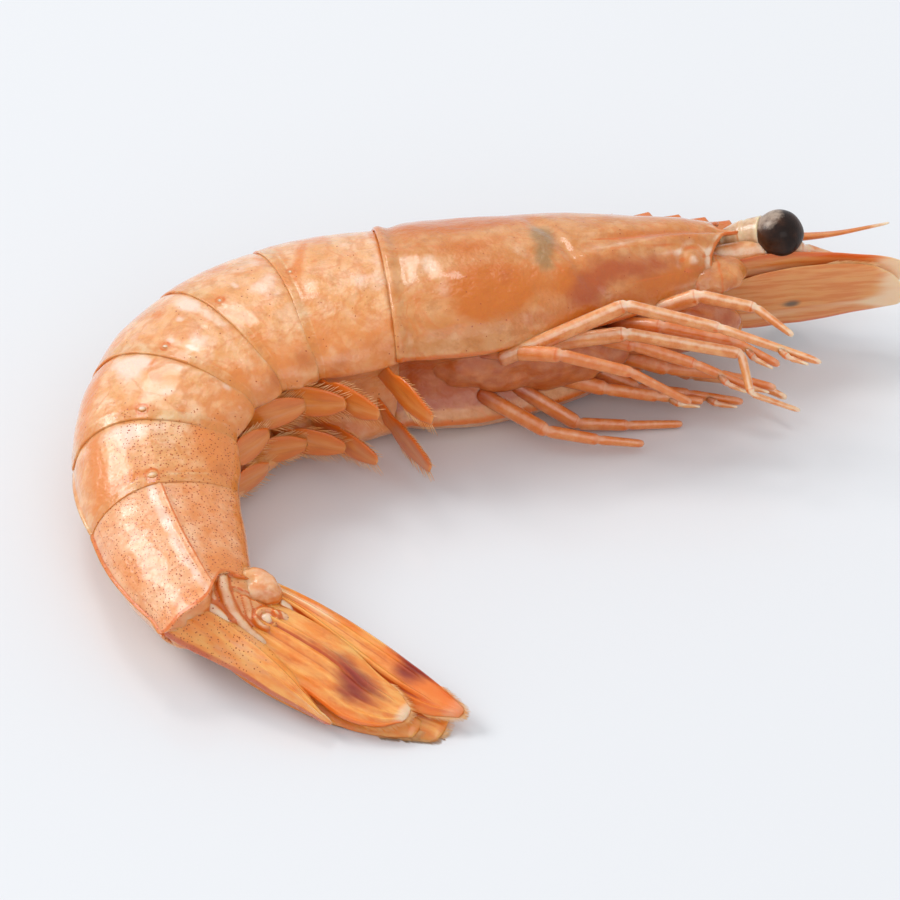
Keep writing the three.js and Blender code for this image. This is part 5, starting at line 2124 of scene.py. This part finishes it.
@dataclass
class TailFin:
    """The closed fan: telson, two pairs of blades, and the flesh and folded skin at its root."""

    telson: Table = (
        (-4.6, -4.3, 0.6, 3.0, -1.2), (-2.6, -4.3, 0.9, 2.7, -1.2), (-0.6, -4.2, 1.2, 2.3, -1.1),
        (1.6, -4.0, 0.9, 1.9, -1.0), (4.5, -3.9, 0.1, 1.6, -0.8), (7.5, -4.1, -0.8, 1.4, -0.6),
        (10.5, -4.0, -2.2, 1.0, -0.4), (13.0, -4.1, -3.4, 0.8, -0.1),
    )
    outer_right: Table = (
        (1.6, 2.6, 6.0, 0.4, 0), (5, 2.6, 6.2, 0.3, 0), (9, 1.8, 6.2, 0.2, 0), (13, 1.2, 5.9, 0.1, 0),
        (17, 1.0, 5.4, 0.0, 0), (21, 1.6, 4.7, -0.1, 0), (23.6, 2.8, 4.0, -0.2, 0),
    )
    inner_right: Table = (
        (0.4, -0.8, 3.2, 1.1, 0), (3.2, -1.6, 3.9, 1.1, 0), (7, -2.2, 4.1, 1.1, 0),
        (11, -2.5, 3.8, 1.1, 0), (15, -2.9, 2.7, 0.9, 0), (18, -2.0, 2.0, 0.8, 0),
        (19.6, -0.6, 1.2, 0.8, 0),
    )
    inner_left: Table = (
        (1.8, -3.0, 1.4, -0.4, 0), (5, -3.6, 1.8, -0.5, 0), (10, -3.5, 1.6, -0.6, 0),
        (15, -3.1, 1.0, -0.7, 0), (18.5, -2.1, 1.2, -0.7, 0), (20.8, -0.9, 1.1, -0.7, 0),
    )
    outer_left: Table = (
        (1.8, -3.2, 0.8, -1.2, 0), (5, -3.6, 1.2, -1.3, 0), (10, -3.6, 1.6, -1.3, 0),
        (15, -3.1, 2.0, -1.2, 0), (19.5, -1.8, 2.6, -1.1, 0), (22.8, -0.3, 2.6, -1.0, 0),
    )
    bases: tuple[tuple[Hand, Table], ...] = (  # each at a place along, across and up, and its radii
        (Hand.RIGHT, ((0.7, 4.4, 1.3), (2.7, 1.7, 1.3))),
        (Hand.LEFT, ((0.8, -1.6, -0.8), (2.5, 1.6, 1.0))),
    )

    def telson_paint(self, share: float, side: float) -> Paint:
        """Pale orange with brown edges and fine dots near its root."""
        edge = ease(-side, 0.75, 0.95)
        return {
            PALE: 0.45 * hump(share, 0.45, 0.25) + 0.6 * ease(share, 0.7, 1) * hump(side, 0.1, 0.5),
            WARM: 0.15 + 0.3 * ease(side, 0.3, 1),
            DOTS: 1 - ease(share, 0.35, 0.65),
            LINE: 0.7 * edge + 0.5 * hump(side, -0.3, 0.06) * ease(share, 0.3, 0.5),
        }

    def outer_paint(self, share: float, side: float) -> Paint:
        """Dark outer edge, a pale band near the root, a dark stain and a yellow tip."""
        band = 0.75 * hump(side, 0.6, 0.25) * (1 - ease(share, 0.25, 0.5))
        return {
            PALE: band + 0.9 * ease(share, 0.86, 0.99),
            WARM: 0.3 + 0.5 * ease(share, 0.4, 0.8),
            DARK: 0.9 * hump(share, 0.72, 0.11) * hump(side, 0.45, 0.55) + 0.55 * ease(side, 0.7, 0.92),
            LINE: 0.9 * hump(side, 0.04 - 0.5 * share, 0.09) * (1 - ease(share, 0.75, 0.9))
            + 0.6 * hump(side, 0.38, 0.07) * (1 - ease(share, 0.55, 0.8)),
        }

    def inner_paint(self, share: float, side: float) -> Paint:
        """Orange, with a dark middle line, a red-purple stain towards the tip and a yellow margin."""
        lines = 0.85 * (hump(side, 0.24, 0.07) + 0.7 * hump(side, -0.1, 0.07) + 0.6 * hump(side, -0.46, 0.07))
        return {
            PALE: 0.9 * ease(share, 0.9, 0.99) + 0.3 * hump(side, 0.6, 0.2) * hump(share, 0.5, 0.2),
            WARM: 0.35 + 0.5 * ease(-side, 0.6, 1),
            DARK: 0.95 * hump(share, 0.7, 0.19) * hump(side, 0.2, 0.8)
            + 0.6 * hump(side, 0.35, 0.1) * hump(share, 0.35, 0.2),
            LINE: lines * (1 - ease(share, 0.6, 0.85)) + 0.5 * ease(abs(side), 0.93, 1),
        }

    def low_paint(self, share: float, side: float) -> Paint:
        """Pinkish brown with a pale fringe, for the blades underneath."""
        return {
            PALE: 0.3 * ease(share, 0.85, 0.99),
            WARM: 0.5,
            DARK: 0.45 * hump(share, 0.8, 0.25),
            LINE: 0.5 * ease(abs(side), 0.85, 0.98),
        }

    def fan(self, name: str, blade: Blade, start: float, seed: int) -> None:
        """Sets a blade and the fringe round its tip.

        Args:
            name: Its name.
            blade: The blade.
            start: Where the fringe starts, as a share of the blade's length.
            seed: Seeds the differences between the bristles.
        """
        set_piece(f"{name}_blade", blade.build(), TAIL_BLADE, [name])
        first, end = blade.rows[0][0], blade.rows[-1][0] + blade.tip
        spots = []
        count = 90
        for n in range(count + 1):
            share = abs(2 * n / count - 1)
            side = math.copysign(ease(share, 0.0, 0.55), n - count / 2)
            spots.append((lerp(end - 0.15, lerp(first, end, start), ease(share, 0.25, 1.3)), side))
        fringe = blade.bristles(spots, 0.8, 0.8, random.Random(seed))
        set_piece(f"{name}_fringe", fringe, BRISTLE)

    def root(self) -> None:
        """The bases of the blades, with the glassy knuckles of their joints."""

        def shade(unit: Vector) -> Paint:
            """A milky dome with an orange rim."""
            crease = 0.35 * hump(unit.x + 0.3 * unit.y, 0.35, 0.06) * ease(unit.z, 0.3, 0.5)
            return {
                PALE: 0.5 * ease(unit.z, 0.2, 0.6) + 0.2 * uneven(unit, 0.6, 2),
                LINE: 0.7 * hump(unit.z, 0.15, 0.15) + crease,
                WARM: 0.35,
            }

        for hand, (at, radii) in self.bases:
            ball = Ball(fin_frame_ball(at), radii, 64, 80, lumps=0.3, lump_size=1.2, paint=shade)
            name = f"uropod_base_{hand.label}"
            set_piece(f"{name}_shell", ball.build(), LIMB_SHELL, [name])

        def folds(unit: Vector) -> Paint:
            """Orange creases in pale flesh."""
            crease = hump(math.sin(9 * unit.y + 5 * unit.x), 1.0, 0.35)
            return {PALE: 0.25, WARM: 0.5, LINE: 0.8 * crease, DOTS: 0.8}

        ball = Ball(fin_frame_ball((-2.4, 0.2, 0.2)), (4.6, 4.4, 2.4), 56, 64, 0.5, 1.5, folds)
        set_piece("tail_root", ball.build(), LIMB_SHELL)
        set_piece("tail_root_folds", FoldedSkin().build(), LIMB_SHELL)

    def build(self) -> None:
        """Makes the fan from its root outwards."""
        self.root()
        ribs = (Ridge(-0.35, 0.3, 0.1), Ridge(0.25, 0.3, 0.1), Ridge(-0.9, 0.2, 0.07))
        telson = Blade(FIN, self.telson, 1.3, 0.4, 1.2, ribs, self.telson_paint)
        set_piece("telson_blade", telson.build(), TAIL_BLADE, ["telson"])
        ribs = (
            Ridge(0.2, 0.55, 0.1, veer=-0.5, end=0.9), Ridge(0.9, 0.3, 0.07),
            Ridge(0.55, 0.35, 0.09, end=0.8), Ridge(-0.5, 0.25, 0.09),
        )
        outer = Blade(FIN, self.outer_right, 0.6, 0.22, 0.4, ribs, self.outer_paint)
        self.fan("outer_uropod_right", outer, 0.82, 2)
        ribs = (
            Ridge(0.38, 0.5, 0.09, end=0.95), Ridge(0.08, 0.4, 0.09, end=0.85), Ridge(-0.28, 0.3, 0.09),
            Ridge(-0.62, 0.25, 0.08), Ridge(-0.92, 0.2, 0.06),
        )
        inner = Blade(FIN, self.inner_right, 0.6, 0.22, 0.4, ribs, self.inner_paint)
        self.fan("inner_uropod_right", inner, 0.8, 3)
        lower = (("inner", self.inner_left, 0.2, 0.8, 4), ("outer", self.outer_left, 0.3, 0.82, 5))
        for label, rows, rib, start, seed in lower:
            blade = Blade(FIN, rows, 0.5, 0.2, 0.4, (Ridge(rib, 0.15, 0.07),), self.low_paint)
            self.fan(f"{label}_uropod_left", blade, start, seed)


# The studio.


@dataclass(frozen=True)
class Softbox:
    """A square soft light that faces the middle of the table."""

    name: str
    at: Triple
    size: float
    power: float  # watts


@dataclass
class Studio:
    """A white glossy table, soft light from the upper left and behind, and the photograph's camera."""

    table_size: float = 4.0
    table_colour: str = "#e4e5e7"
    sky: str = "#f4f7fb"
    sky_strength: float = 0.8
    softboxes: tuple[Softbox, ...] = (
        Softbox("key_softbox", (-1.24, 0.44, 1.1), 0.7, 12.0),
        Softbox("back_softbox", (-0.3, 0.85, 1.45), 0.34, 3.0),
        Softbox("front_softbox", (0.5, -1.6, 1.2), 1.2, 6.0),
    )
    target: Triple = (-0.0046978, 0.00823495, 0.0)
    distance: float = 0.45
    elevation: float = 40.0
    lens: float = 180.0

    def table(self) -> None:
        """A glossy white table top."""
        mesh = bmesh.new()
        bmesh.ops.create_grid(mesh, x_segments=1, y_segments=1, size=self.table_size / 2)
        data = bpy.data.meshes.new("table_top")
        mesh.to_mesh(data)
        mesh.free()
        graph = start_graph("white_glossy_table")
        shader = {"Base Color": linear(self.table_colour), "Roughness": 0.18, "Specular IOR Level": 0.3}
        surface = graph.add("ShaderNodeBsdfPrincipled", shader).outputs[0]
        graph.add("ShaderNodeOutputMaterial", {"Surface": surface})
        data.materials.append(graph.material)
        top = bpy.data.objects.new("table_top", data)
        bpy.context.scene.collection.objects.link(top)

    def lights(self) -> None:
        """An even white surround and the softboxes."""
        scene = bpy.context.scene
        world = bpy.data.worlds.new("white_surround")
        world.use_nodes = True
        background = world.node_tree.nodes["Background"]
        background.inputs["Color"].default_value = linear(self.sky)
        background.inputs["Strength"].default_value = self.sky_strength
        scene.world = world
        for box in self.softboxes:
            light = bpy.data.lights.new(box.name, "AREA")
            light.size = box.size
            light.energy = box.power
            lamp = bpy.data.objects.new(box.name, light)
            lamp.location = box.at
            lamp.rotation_mode = "QUATERNION"
            lamp.rotation_quaternion = Vector(box.at).to_track_quat("Z", "Y")
            scene.collection.objects.link(lamp)
        scene.view_settings.view_transform = "Standard"

    def camera(self) -> None:
        """The camera at the photograph's place and angle."""
        tilt = math.radians(self.elevation)
        forward = Vector((0, math.cos(tilt), -math.sin(tilt)))
        data = bpy.data.cameras.new("photo_camera")
        data.lens = self.lens
        data.sensor_width = 36.0
        data.clip_start, data.clip_end = 0.01, 20.0
        camera = bpy.data.objects.new("photo_camera", data)
        camera.location = Vector(self.target) - forward * self.distance
        camera.rotation_mode = "QUATERNION"
        camera.rotation_quaternion = forward.to_track_quat("-Z", "Y")
        bpy.context.scene.collection.objects.link(camera)
        bpy.context.scene.camera = camera

    def build(self) -> None:
        """Makes the table, the lights and the camera."""
        self.table()
        self.lights()
        self.camera()


def main() -> None:
    logging.basicConfig(level=logging.INFO, format="%(name)s: %(message)s")
    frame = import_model()
    Studio().build()
    for part in (Shield(), Abdomen(), HeadParts(), Legs(), Swimmerets(), TailFin()):
        part.build()
        LOG.info("%s built", type(part).__name__)
    LOG.info("%d nodes in the frame", len(frame["nodes"]))


if __name__ == "__main__":
    main()
